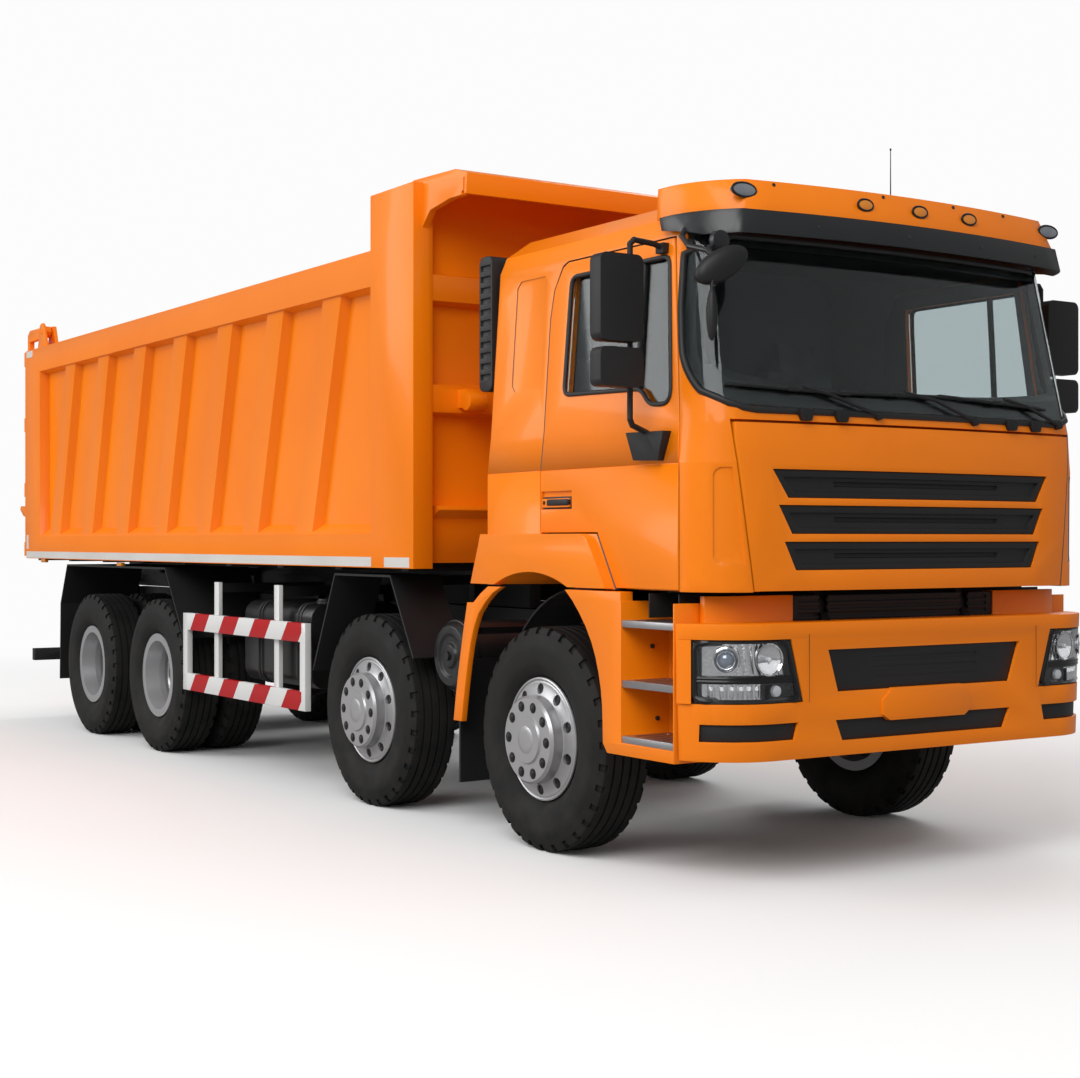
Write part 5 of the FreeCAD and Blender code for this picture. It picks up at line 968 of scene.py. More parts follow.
    def drilled(self, piece: bpy.types.Object, drills: list[bpy.types.Object]) -> bpy.types.Object:
        """Cut drill pieces out of a piece and remove them.

        Args:
            piece: The piece.
            drills: The pieces to cut out.

        Returns:
            The piece.
        """
        tool = self.join("drills", drills)
        self.pick(piece)
        cut = piece.modifiers.new("holes", "BOOLEAN")
        cut.operation = "DIFFERENCE"
        cut.solver = "EXACT"
        cut.object = tool
        bpy.ops.object.modifier_apply(modifier=cut.name)
        bpy.data.objects.remove(tool)
        return piece

    def wear(self, piece: bpy.types.Object, slot: str, body: str, finish: str = "",
             smooth: float = 35.0) -> bpy.types.Object:
        """Give a piece its finish and the body that it rides on.

        Args:
            piece: The piece.
            slot: The record's material slot.
            body: The body that carries the piece.
            finish: The finish, where it isn't the slot's own.
            smooth: The greatest angle that is shaded smooth, in degrees.

        Returns:
            The piece.
        """
        piece.data.materials.clear()
        piece.data.materials.append(self.palette[finish or slot])
        self.pick(piece)
        bpy.ops.object.shade_smooth_by_angle(angle=math.radians(smooth))
        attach(piece, body)
        self.count += 1
        LOG.info("%s rides on %s", piece.name, body)
        return piece

    def second_finish(self, piece: bpy.types.Object, finish: str, wanted: FaceTest) -> None:
        """Give the faces that a test picks a further finish.

        Args:
            piece: The piece.
            finish: The further finish.
            wanted: A test of a face's middle and normal.
        """
        piece.data.materials.append(self.palette[finish])
        index = len(piece.data.materials) - 1
        for face in piece.data.polygons:
            if wanted(face.center, face.normal):
                face.material_index = index


class Skin:
    """Finds places on the carried-over solids' outer faces."""

    def __init__(self, frame: dict, nodes: list[str]) -> None:
        """Build one search tree over the nodes.

        Args:
            frame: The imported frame.
            nodes: The nodes whose faces are searched.
        """
        corners: list[Vector] = []
        faces: list[tuple[int, ...]] = []
        for node in nodes:
            mesh = frame["nodes"][node].data
            base = len(corners)
            corners += [vertex.co.copy() for vertex in mesh.vertices]
            faces += [tuple(base + index for index in face.vertices) for face in mesh.polygons]
        self.tree = BVHTree.FromPolygons(corners, faces)

    def from_front(self, y: float, z: float) -> Vector:
        """Return the first place that a line from ahead of the truck meets."""
        return self.tree.ray_cast(Vector((8.0, y, z)), Vector((-1.0, 0.0, 0.0)))[0]

    def from_side(self, x: float, z: float, side: Side = Side.RIGHT) -> Vector:
        """Return the first place that a line from the side of the truck meets."""
        return self.tree.ray_cast(Vector((x, 4.0 * side.value, z)), Vector((0.0, -side.value, 0.0)))[0]


def softened(corners: Outline, radius: float, steps: int = 4) -> Outline:
    """Round the corners of a closed flat outline.

    Args:
        corners: The outline's corners.
        radius: How far from each corner the rounding starts.
        steps: The points in each rounding.

    Returns:
        The outline's points.
    """
    points = []
    count = len(corners)
    for index, corner in enumerate(corners):
        here = Vector(corner)
        before = Vector(corners[index - 1]) - here
        after = Vector(corners[(index + 1) % count]) - here
        start = here + before.normalized() * min(radius, before.length / 2)
        end = here + after.normalized() * min(radius, after.length / 2)
        for step in range(steps + 1):
            t = step / steps
            points.append(tuple(start * (1 - t) ** 2 + here * 2 * t * (1 - t) + end * t ** 2))
    return points


# Wheels

@dataclass
class RoadTyres:
    """Lugged road tyres with four grooves, in place of the plain solids."""

    steps: int = 96
    slot_every: int = 3
    slot_depth: float = 0.012
    slot_reach: tuple[float, float] = (0.516, 0.5495)
    slot_y: tuple[float, float] = (0.1081, 0.140)
    front_y: float = 1.024
    rear_y: float = 1.085
    spacing: float = 0.350
    half: Outline = field(default_factory=lambda: [
        (0.550, 0.017), (0.537, 0.0195), (0.537, 0.0275), (0.550, 0.030), (0.550, 0.066), (0.537, 0.0685),
        (0.537, 0.0775), (0.550, 0.080), (0.550, 0.108), (0.546, 0.124), (0.528, 0.1345), (0.515, 0.139),
        (0.503, 0.1475), (0.482, 0.1515), (0.478, 0.1545), (0.440, 0.157), (0.400, 0.1555), (0.368, 0.151),
        (0.360, 0.1475), (0.335, 0.137), (0.312, 0.118), (0.304, 0.108), (0.2545, 0.102),
    ])

    def build(self, bench: Bench) -> None:
        """Make one tyre and set copies of it on every wheel.

        Args:
            bench: The modelling steps.
        """
        pattern = self._one(bench)
        for number, axle in ((1, AXLE_1), (2, AXLE_2)):
            for side in Side:
                move = (axle, side.value * self.front_y, WHEEL_Z)
                tyre = bench.copy(pattern, f"road_tyre_{number}_{side.word}", move)
                bench.wear(tyre, "tyre_rubber", f"roadwheel_{number}_{side.word}")
                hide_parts(f"tyre_{number}_{side.word}")
        for number, axle in ((3, AXLE_3), (4, AXLE_4)):
            for side in Side:
                outer = bench.copy(pattern, "outer", (axle, side.value * self.rear_y, WHEEL_Z))
                inner = bench.copy(pattern, "inner",
                                   (axle, side.value * (self.rear_y - self.spacing), WHEEL_Z))
                tyres = bench.join(f"road_tyres_{number}_{side.word}", [outer, inner])
                bench.wear(tyres, "tyre_rubber", f"roadwheels_{number}_{side.word}")
                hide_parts(f"tyres_{number}_{side.word}")
        bpy.data.objects.remove(pattern)

    def _in_slot(self, place: Vector, normal: Vector) -> bool:
        """Tell whether a face of the tyre lies where a slot is pressed in.

        Args:
            place: The face's middle.
            normal: The face's normal, which makes no difference here.

        Returns:
            Whether it does.
        """
        reach = math.hypot(place.x, place.z)
        turn = math.atan2(place.z, place.x) / (2 * math.pi) * self.steps
        (foot, top), (inner, outer) = self.slot_reach, self.slot_y
        return (foot < reach < top and inner < abs(place.y) < outer
                and round(turn - 0.5) % self.slot_every == 0)

    def _one(self, bench: Bench) -> bpy.types.Object:
        """Return one tyre round the origin, with slots cut between its shoulder lugs.

        Args:
            bench: The modelling steps.

        Returns:
            The tyre.
        """
        profile = [(r, y) for r, y in self.half] + [(r, -y) for r, y in reversed(self.half)]
        tyre = bench.turned("tyre_pattern", profile, (0.0, 0.0, 0.0), self.steps)
        bench.mark(tyre, self._in_slot)
        bpy.ops.object.mode_set(mode="EDIT")
        bpy.ops.mesh.extrude_region_shrink_fatten(TRANSFORM_OT_shrink_fatten={"value": -self.slot_depth})
        bpy.ops.mesh.select_mode(type="VERT")
        bpy.ops.object.mode_set(mode="OBJECT")
        return tyre


@dataclass
class WheelTrim:
    """Nuts, hub caps and vented discs of the wheels."""

    nut_count: int = 10
    front_face_y: float = 1.232
    front_ring: float = 0.1675
    rear_face_y: float = 0.932
    rear_ring: float = 0.168
    nut_radius: float = 0.0165
    flange_y: float = 1.146
    recess: float = 0.0262
    vent_ring: float = 0.2470
    vent_radius: float = 0.0268

    def build(self, bench: Bench) -> None:
        """Fit the front and the rear wheels.

        Args:
            bench: The modelling steps.
        """
        for number, axle in ((1, AXLE_1), (2, AXLE_2)):
            self._front(bench, number, axle)
        for number, axle in ((3, AXLE_3), (4, AXLE_4)):
            self._rear(bench, number, axle)

    def _nuts(self, bench: Bench, axle: float, ring: float, y0: float, y1: float,
              stud: float) -> list[bpy.types.Object]:
        """Return one ring of six-sided nuts with their studs on the left side.

        Args:
            bench: The modelling steps.
            axle: The axle's place along the truck.
            ring: The ring's radius.
            y0: The nuts' inner face.
            y1: The nuts' outer face.
            stud: How far the studs stand out.

        Returns:
            The nuts.
        """
        first = bench.drum("nut", (axle + ring, y0, WHEEL_Z), (axle + ring, y1, WHEEL_Z), self.nut_radius,
                           6, 0.002)
        pin = bench.drum("stud", (axle + ring, y1 - 0.002, WHEEL_Z), (axle + ring, y1 + stud, WHEEL_Z),
                         self.nut_radius * 0.5, 10, 0.001)
        first = bench.join("nut", [first, pin])
        nuts = []
        for index in range(self.nut_count):
            turn = Matrix.Rotation(2 * math.pi * index / self.nut_count, 4, "Y")
            centre = Matrix.Translation((axle, 0.0, WHEEL_Z))
            nut = bench.copy(first, "nut_copy")
            nut.matrix_world = centre @ turn @ centre.inverted()
            nuts.append(bench.settle(nut))
        bpy.data.objects.remove(first)
        return nuts

    def _front(self, bench: Bench, number: int, axle: float) -> None:
        """Put dark nuts in the hub's recesses and a turned cap on its face, with black drums as painted shade
        in the nut recesses and the disc's vents.

        Args:
            bench: The modelling steps.
            number: The axle's number.
            axle: The axle's place along the truck.
        """
        face = self.front_face_y
        nuts = self._nuts(bench, axle, self.front_ring, face, face + 0.0055, 0.003)
        nuts = bench.join("nuts", nuts)
        # Black drums round the nuts and plugging the vents are painted shade, standing in for the dark
        # hollows.
        holes = self._ring(bench, axle, self.front_ring, face - 0.004, face + 0.0012, self.recess, 0.0)
        holes += self._ring(bench, axle, self.vent_ring, self.flange_y - 0.004, self.flange_y + 0.0010,
                            self.vent_radius + 0.001, 0.5)
        holes = bench.join("holes", holes)
        disc = self._disc(bench, axle)
        profile = [(0.0, 0.0), (0.098, 0.0), (0.098, 0.009), (0.092, 0.0102), (0.088, 0.0085),
                   (0.070, 0.0085), (0.066, 0.0112), (0.040, 0.0122), (0.0, 0.0126)]
        cap = bench.turned("cap", profile, (axle, face, WHEEL_Z), 40)
        for side in Side:
            flip = side is Side.RIGHT
            body = f"roadwheel_{number}_{side.word}"
            for pattern, name, finish in ((nuts, "wheel_nuts", "nut_steel"),
                                          (holes, "wheel_recesses", "bezel_black"),
                                          (disc, "wheel_disc", "wheel_silver"),
                                          (cap, "hub_cap", "wheel_silver")):
                piece = bench.copy(pattern, f"{name}_{number}_{side.word}", mirrored=flip)
                bench.wear(piece, "wheel_silver", body, finish)
        for pattern in (nuts, holes, disc, cap):
            bpy.data.objects.remove(pattern)

    def _ring(self, bench: Bench, axle: float, ring: float, y0: float, y1: float, radius: float,
              turn: float) -> list[bpy.types.Object]:
        """Return a ring of short drums, one for each nut, turned by a part of the nuts' pitch.

        Args:
            bench: The modelling steps.
            axle: The axle's place along the truck.
            ring: The ring's radius.
            y0: The drums' inner face.
            y1: The drums' outer face.
            radius: The drums' radius.
            turn: The part of the pitch.

        Returns:
            The drums.
        """
        drums = []
        for index in range(self.nut_count):
            angle = 2 * math.pi * (index + turn) / self.nut_count
            x, z = axle + ring * math.cos(angle), WHEEL_Z + ring * math.sin(angle)
            drums.append(bench.drum("drum", (x, y0, z), (x, y1, z), radius, 20, 0.0005))
        return drums

    def _disc(self, bench: Bench, axle: float) -> bpy.types.Object:
        """Return the vented disc between hub and rim, with the rim's bright lip.

        Args:
            bench: The modelling steps.
            axle: The axle's place along the truck.

        Returns:
            The disc.
        """
        y = self.flange_y
        profile = [(0.2152, y + 0.0190), (0.2195, y + 0.0160), (0.2240, y + 0.0140), (0.2650, y + 0.0045),
                   (0.2720, y + 0.0040), (0.2800, y + 0.0045), (0.2845, y + 0.0020), (0.2845, y - 0.0005),
                   (0.2152, y - 0.0005)]
        disc = bench.turned("disc", profile, (axle, 0.0, WHEEL_Z), 60)
        drills = self._ring(bench, axle, self.vent_ring, y - 0.04, y + 0.03, self.vent_radius, 0.5)
        disc = bench.drilled(disc, drills)
        lip = bench.turned("lip", [(0.2885, y - 0.0005), (0.2895, y + 0.0040), (0.2950, y + 0.0065),
                                   (0.3015, y + 0.0040), (0.3035, y - 0.0020), (0.2885, y - 0.0020)],
                           (axle, 0.0, WHEEL_Z), 60)
        return bench.join("disc", [disc, lip])

    def _rear(self, bench: Bench, number: int, axle: float) -> None:
        """Put nuts on the dish and rings on the hub's nose.

        Args:
            bench: The modelling steps.
            number: The axle's number.
            axle: The axle's place along the truck.
        """
        face = self.rear_face_y
        parts = self._nuts(bench, axle, self.rear_ring, face - 0.002, face + 0.022, 0.018)
        parts.append(bench.turned("flange", [(0.118, 0.146), (0.128, 0.146), (0.128, 0.158), (0.118, 0.158)],
                                  (axle, self.rear_face_y - 0.022, WHEEL_Z), 36))
        nuts = bench.join("nuts", parts)
        for side in Side:
            piece = bench.copy(nuts, f"wheel_nuts_{number}_{side.word}", mirrored=side is Side.RIGHT)
            bench.wear(piece, "wheel_silver", f"roadwheels_{number}_{side.word}", "nut_steel")
        bpy.data.objects.remove(nuts)


# Lamps

@dataclass
class BumperArc:
    """The bumper's bowed front in plan."""

    front: float = 4.820
    side_x: float = 4.550
    flat: float = 0.900
    half: float = 1.245

    def place(self, y: float, depth: float) -> tuple[Vector, Vector]:
        """Return a place behind the skin and the skin's outward direction.

        Args:
            y: The distance from the middle, signed.
            depth: How far behind the skin the place lies.

        Returns:
            The place at height nought, and the direction.
        """
        reach, spread_y = self.front - self.side_x, self.half - self.flat
        radius = (reach ** 2 + spread_y ** 2) / (2 * reach)
        over = max(abs(y) - self.flat, 0.0)
        side = 1.0 if y > 0 else -1.0
        angle = math.asin(min(over / radius, 0.98))
        out = Vector((math.cos(angle), side * math.sin(angle), 0.0))
        skin = Vector((self.front - radius + radius * math.cos(angle), y, 0.0))
        return skin - out * depth, out


@dataclass
class LampSet:
    """Headlamps with their reflectors behind clear covers, and the rear lamps."""

    arc: BumperArc = field(default_factory=BumperArc)
    pocket: float = 0.046
    reflector_z: float = 1.012
    projector_y: float = 1.122
    reflector_y: float = 0.938
    strip_z: float = 0.875
    outer: float = 1.218
    seam_y: float = 0.720
    seam_heights: tuple[float, float] = (1.118, 0.820)
    glass: float = 0.004
    panel_edge: float = 1.205
    cheek_edge: float = 1.2435
    cheek_heights: tuple[float, float] = (0.8225, 1.0975)
    facets: int = 6
    facet_start: float = 0.990
    facet_pitch: float = 0.036
    small_y: float = 0.892
    edges: Outline = field(default_factory=lambda: [
        (0.842, 1.086), (1.213, 1.086), (1.213, 0.836), (0.770, 0.836),
    ])
    rear_thirds: tuple[float, float] = (0.690, 0.810)

    def build(self, bench: Bench) -> None:
        """Make both headlamps and the rear lamps, in place of the plain blocks.

        Args:
            bench: The modelling steps.
        """
        blocks = bench.carried("lamps", "lamp_blocks")
        bench.pick(blocks)
        bpy.ops.object.mode_set(mode="EDIT")
        bpy.ops.mesh.select_all(action="SELECT")
        bpy.ops.mesh.separate(type="LOOSE")
        bpy.ops.object.mode_set(mode="OBJECT")
        for piece in [item for item in bpy.context.selected_objects if item.type == "MESH"]:
            middle = sum((Vector(corner) for corner in piece.bound_box), Vector()) / 8
            side = Side.LEFT if middle.y > 0 else Side.RIGHT
            if middle.x > 0:
                self._cover(bench, piece, side)
                self._inside(bench, side)
            else:
                self._rear(bench, piece, side)

    def _in_front(self, place: Vector, normal: Vector) -> bool:
        """Tell whether a face of a headlamp's block is part of its front.

        Args:
            place: The face's middle.
            normal: The face's normal.

        Returns:
            Whether it is.
        """
        skin, out = self.arc.place(place.y, 0.0)
        depth = (skin - Vector((place.x, place.y, 0.0))).dot(out)
        return normal.dot(out) > 0.7 and depth < 0.03

    def _cover(self, bench: Bench, piece: bpy.types.Object, side: Side) -> None:
        """Thin a headlamp block to its clear cover and its dark housing.

        Args:
            bench: The modelling steps.
            piece: The piece.
            side: The truck's side.
        """
        bench.split(piece, (0.0, side.value * self.outer, 0.0), (0.0, 1.0, 0.0))
        bench.erase(piece, lambda place, normal: abs(place.y) > self.outer)
        housing = bench.copy(piece, f"headlamp_housing_{side.word}")
        for item, keep_front in ((piece, True), (housing, False)):
            bench.erase(item, lambda place, normal, keep=keep_front:
                        self._in_front(place, normal) is not keep)
            wall = item.modifiers.new("wall", "SOLIDIFY")
            wall.thickness = self.glass
            wall.offset = -1.0
            bpy.ops.object.modifier_apply(modifier=wall.name)
        piece.name = f"headlamp_cover_{side.word}"
        bench.wear(piece, "lamp_clear", "chassis")
        bench.wear(housing, "lamp_clear", "chassis", "bezel_black")
        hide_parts("lamps")

    def _unit(self, bench: Bench, name: str, y: float, z: float, profile: Outline,
              depth: float) -> bpy.types.Object:
        """Turn a round lamp unit that faces out of the bumper's skin."""
        place, out = self.arc.place(y, depth)
        return bench.turned(name, profile, (place.x, place.y, z), 32, tuple(out), closed=False)

    def _inside(self, bench: Bench, side: Side) -> None:
        """Make one headlamp's reflectors, projector, strip and round lamp.

        Args:
            bench: The modelling steps.
            side: The truck's side.
        """
        s = side.value
        chrome = [self._ribbon(bench, side, (0.862, 0.832), self.panel_edge, (0.944, 1.080), 0.004),
                  self._ribbon(bench, side, (0.965, 0.965), self.panel_edge, (0.842, 0.908), 0.006)]
        cheek = self._ribbon(bench, side, (self.outer, self.outer), self.cheek_edge, self.cheek_heights,
                             0.0, 0.0012)
        cheek.name = f"bumper_cheek_{side.word}"
        bench.wear(cheek, "orange_paint", "chassis")
        # A thin dark tube along the bumper's seam is painted shade, standing in for the shadowed gap.
        seam = [(self.arc.front - 0.0002, s * self.seam_y, height) for height in self.seam_heights]
        line = bench.tube(f"bumper_seam_{side.word}", seam, 0.0009)
        bench.wear(line, "black_plastic", "chassis", "seal_rubber")
        bowl = [(0.071, 0.026), (0.068, 0.026), (0.062, 0.018), (0.045, 0.008), (0.020, 0.003),
                (0.012, 0.003)]
        chrome.append(self._unit(bench, "bowl", s * self.reflector_y, self.reflector_z, bowl,
                                 self.pocket - 0.012))
        rim = [(0.058, 0.030), (0.052, 0.033), (0.046, 0.026), (0.040, 0.012), (0.034, 0.010)]
        chrome.append(self._unit(bench, "rim", s * self.projector_y, self.reflector_z, rim,
                                 self.pocket - 0.012))
        for index in range(self.facets):
            y = s * (self.facet_start + index * self.facet_pitch)
            place, out = self.arc.place(y, self.pocket - 0.016)
            low = (place.x - 0.010, place.y - 0.011, self.strip_z - 0.026)
            high = (place.x + 0.004, place.y + 0.011, self.strip_z + 0.026)
            chrome.append(bench.block("facet", low, high, 0.004))
        self._frame(bench, side)
        bright = bench.join(f"headlamp_reflectors_{side.word}", chrome)
        bench.wear(bright, "lamp_clear", "chassis", "reflector_chrome")
        lens = [(0.036, 0.010), (0.034, 0.018), (0.026, 0.028), (0.014, 0.034), (0.0, 0.036), (0.0, 0.010)]
        eye = self._unit(bench, f"projector_lens_{side.word}", s * self.projector_y, self.reflector_z, lens,
                         self.pocket - 0.012)
        bench.wear(eye, "lamp_clear", "chassis", "lens_blue")
        bulb = [(0.012, 0.004), (0.012, 0.022), (0.008, 0.028), (0.0, 0.030), (0.0, 0.004)]
        small = [(0.027, 0.010), (0.023, 0.022), (0.0, 0.024), (0.0, 0.008)]
        lamps = [self._unit(bench, "bulb", s * self.reflector_y, self.reflector_z, bulb,
                            self.pocket - 0.012),
                 self._unit(bench, "small", s * self.small_y, self.strip_z, small, self.pocket - 0.008)]
        bench.wear(bench.join(f"headlamp_bulbs_{side.word}", lamps), "lamp_clear", "chassis", "bulb_white")

    def _ribbon(self, bench: Bench, side: Side, inner: tuple[float, float], outer: float,
                heights: tuple[float, float], wave: float, depth: float = 0.036) -> bpy.types.Object:
        """Return a fluted panel that follows the bumper's bow.

        Args:
            bench: The modelling steps.
            side: The truck's side.
            inner: The panel's inner edge at its top and at its foot.
            outer: The panel's outer edge.
            heights: The panel's foot and top.
            wave: The flutes' depth.
            depth: How far behind the skin the panel lies.

        Returns:
            The panel.
        """
        columns, rows = 44, 4
        bpy.ops.object.select_all(action="DESELECT")
        bpy.ops.mesh.primitive_grid_add(x_subdivisions=columns, y_subdivisions=rows, size=2.0)
        panel = bpy.context.object
        foot, top = heights
        for vertex in panel.data.vertices:
            across, up = (vertex.co.x + 1.0) / 2.0, (vertex.co.y + 1.0) / 2.0
            start = inner[1] + (inner[0] - inner[1]) * up
            y = side.value * (start + (outer - start) * across)
            place, _ = self.arc.place(y, depth - wave * abs(math.sin(across * math.pi * columns / 4)))
            vertex.co = (place.x, place.y, foot + (top - foot) * up)
        wall = panel.modifiers.new("wall", "SOLIDIFY")
        wall.thickness = 0.002
        bpy.ops.object.modifier_apply(modifier=wall.name)
        return bench.tidy(panel)

    def _frame(self, bench: Bench, side: Side) -> None:
        """Add the black frame round the pocket and the bar between its two rows.

        Args:
            bench: The modelling steps.
            side: The truck's side.
        """
        s = side.value
        path = []
        for y, z in softened(self.edges, 0.030, 3):
            place, _ = self.arc.place(s * y, 0.0160)
            path.append((place.x, place.y, z))
        pieces = [bench.tube("edge", path, 0.0158, closed=True, sides=2)]
        for z in (0.919, 0.933):
            bar = [self.arc.place(s * (0.790 + index * 0.042), 0.016)[0] for index in range(11)]
            pieces.append(bench.tube("bar", [(place.x, place.y, z) for place in bar], 0.010, sides=2))
        post = self.arc.place(s * 0.946, 0.018)[0]
        pieces.append(bench.tube("post", [(post.x, post.y, height) for height in (0.842, 0.902)], 0.012,
                                 sides=2))
        bench.wear(bench.join(f"headlamp_frame_{side.word}", pieces), "lamp_clear", "chassis", "bezel_black")

    def _rear(self, bench: Bench, piece: bpy.types.Object, side: Side) -> None:
        """Round a rear lamp block's edges and split it into red, amber and clear thirds.

        Args:
            bench: The modelling steps.
            piece: The piece.
            side: The truck's side.
        """
        piece.name = f"rear_lamp_{side.word}"
        bench.pick(piece)
        bpy.ops.object.mode_set(mode="EDIT")
        for y in self.rear_thirds:
            bpy.ops.mesh.select_all(action="SELECT")
            bpy.ops.mesh.bisect(plane_co=(0.0, side.value * y, 0.0), plane_no=(0.0, 1.0, 0.0))
        bpy.ops.object.mode_set(mode="OBJECT")
        bench.round_edges(piece, 0.004, 2, 60.0)
        bench.wear(piece, "lamp_clear", "chassis", "lamp_red")
        bench.second_finish(piece, "lamp_amber", lambda place, normal: abs(place.y) > self.rear_thirds[1])
        bench.second_finish(piece, "marker_grey", lambda place, normal: abs(place.y) < self.rear_thirds[0])
        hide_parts("lamps")


# Glass, seals and wipers

@dataclass
class GlassTrim:
    """Rubber seals round the windscreen and the door windows, and the window bars."""

    seal: float = 0.016
    window_seal: float = 0.011
    screen_side: Outline = field(default_factory=lambda: [
        (4.456, 2.862), (4.456, 2.769), (4.465, 2.547), (4.485, 2.399), (4.497, 2.338), (4.522, 2.284),
        (4.556, 2.232), (4.596, 2.184), (4.620, 2.165),
    ])
    screen_foot_z: float = 2.089
    screen_foot_half: float = 0.94
    screen_head_half: float = 0.95
    screen_head_z: float = 2.862
    screen_bend: Outline = field(default_factory=lambda: [(-1.105, 2.140), (-1.068, 2.115), (-1.010, 2.098)])
    window: Outline = field(default_factory=lambda: [
        (3.590, 2.786), (3.578, 2.220), (4.200, 2.206), (4.265, 2.131), (4.390, 2.124), (4.425, 2.160),
        (4.360, 2.786),
    ])
    bar_x: float = 4.161
    bar_heights: tuple[float, float] = (2.212, 2.784)
    bar_sink: float = 0.012
    door_half: float = 1.180
    door_z: float = 2.045
    door_lean: float = 0.0695

    def build(self, bench: Bench, skin: Skin) -> None:
        """Fit the seals and the bars.

        Args:
            bench: The modelling steps.
            skin: The cab's outer faces.
        """
        line = softened([(x - 0.007, z - 0.006) for x, z in self.screen_side], 0.02, 3)[4:-4]
        right = [skin.from_side(x, z) for x, z in line]
        bend = [skin.from_front(y, z) for y, z in self.screen_bend]
        foot = [skin.from_front(self.screen_foot_half * (index / 6 - 1.0), self.screen_foot_z)
                for index in range(13)]
        foot = bend + foot + [Vector((p.x, -p.y, p.z)) for p in reversed(bend)]
        head = [skin.from_front(self.screen_head_half * (1.0 - index / 6), self.screen_head_z)
                for index in range(13)]
        left = [Vector((p.x, -p.y, p.z)) for p in reversed(right)]
        path = [tuple(point) for point in right + foot + left + head if point is not None]
        seal = bench.tube("windscreen_seal", path, self.seal, closed=True)
        bench.wear(seal, "black_plastic", "cab", "seal_rubber", 60.0)
        line = softened(self.window, 0.045)
        for side in Side:
            body = f"door_assembly_{side.word}"
            path = [(x, side.value * self._door_y(z), z) for x, z in line]
            ring = bench.tube("ring", path, self.window_seal, closed=True)
            rod = [(self.bar_x, side.value * (self._door_y(z) - self.bar_sink), z) for z in self.bar_heights]
            bar = bench.tube("bar", rod, 0.016, sides=2)
            seal = bench.join(f"window_seal_{side.word}", [ring, bar])
            bench.wear(seal, "black_plastic", body, "seal_rubber", 60.0)

    def _door_y(self, z: float) -> float:
        """Return how far the door's skin lies from the middle at a height."""
        return self.door_half - (z - self.door_z) * self.door_lean


@dataclass
class Wipers:
    """Three wipers with their arms and blades, and the four black steps at the screen's foot."""

    hubs: list[Point] = field(default_factory=lambda: [(4.772, -0.274, 2.079), (4.771, 0.342, 2.075),
                                                       (4.733, 0.965, 2.082)])
    elbows: list[Point] = field(default_factory=lambda: [(4.737, -0.555, 2.170), (4.754, 0.078, 2.170),
                                                         (4.724, 0.720, 2.172)])
    ends: list[Point] = field(default_factory=lambda: [(4.724, -0.700, 2.196), (4.748, -0.110, 2.196),
                                                       (4.734, 0.560, 2.196)])
    blades: list[tuple[Point, Point]] = field(default_factory=lambda: [
        ((4.656, -1.075, 2.196), (4.742, -0.430, 2.172)), ((4.741, -0.490, 2.178), (4.752, 0.200, 2.188)),
        ((4.752, 0.120, 2.192), (4.708, 0.880, 2.160)),
    ])
    steps: list[float] = field(default_factory=lambda: [-0.690, -0.490, 0.605, 0.785])

    def build(self, bench: Bench, skin: Skin) -> None:
        """Fit the wipers and the steps.

        Args:
            bench: The modelling steps.
            skin: The cab's outer faces.
        """
        places = zip(self.hubs, self.elbows, self.ends, self.blades)
        for number, (hub, elbow, end, blade) in enumerate(places, 1):
            parts = [bench.drum("hub", (hub[0] - 0.03, hub[1], hub[2]),
                                (hub[0] + 0.026, hub[1], hub[2] + 0.006), 0.020, 20, 0.003)]
            arm = [(hub[0] + 0.018, hub[1], hub[2] + 0.003), (elbow[0] + 0.030, elbow[1], elbow[2]),
                   (end[0] + 0.030, end[1], end[2])]
            parts.append(bench.tube("arm", arm, 0.0085, sides=2))
            parts += self._blade(bench, blade, skin)
            wiper = bench.join(f"wiper_{number}", parts)
            bench.wear(wiper, "black_plastic", "cab", "", 50.0)
        pads = []
        for y in self.steps:
            base = skin.from_front(y, 2.075).x
            outline = [(base - 0.02, y - 0.042, 2.100), (base - 0.02, y + 0.042, 2.100),
                       (base - 0.02, y + 0.026, 2.047), (base - 0.02, y - 0.026, 2.047)]
            pads.append(bench.plate("pad", outline, (0.048, 0.0, 0.0), 0.006, 3))
        bench.wear(bench.join("screen_steps", pads), "black_plastic", "cab")

    def _blade(self, bench: Bench, blade: tuple[Point, Point], skin: Skin) -> list[bpy.types.Object]:
        """Return a wiper's blade with its spine and holder, laid on the glass.

        Args:
            bench: The modelling steps.
            blade: The blade's two ends.
            skin: The cab's outer faces.

        Returns:
            The blade's pieces.
        """
        start, end = Vector(blade[0]), Vector(blade[1])
        rubber, spine = [], []
        for index in range(9):
            place = start.lerp(end, index / 8)
            hit = skin.from_front(place.y, place.z) or place
            rubber.append((hit.x + 0.005, hit.y, hit.z))
            arch = 0.010 * math.sin(math.pi * index / 8)
            spine.append((hit.x + 0.016 + arch, hit.y, hit.z))
        middle = spine[4]
        holder = bench.block("holder", (middle[0] - 0.012, middle[1] - 0.030, middle[2] - 0.010),
                             (middle[0] + 0.012, middle[1] + 0.030, middle[2] + 0.010), 0.004)
        return [bench.tube("rubber", rubber, 0.006, sides=2), bench.tube("spine", spine, 0.0075, sides=2),
                holder]


# Cab

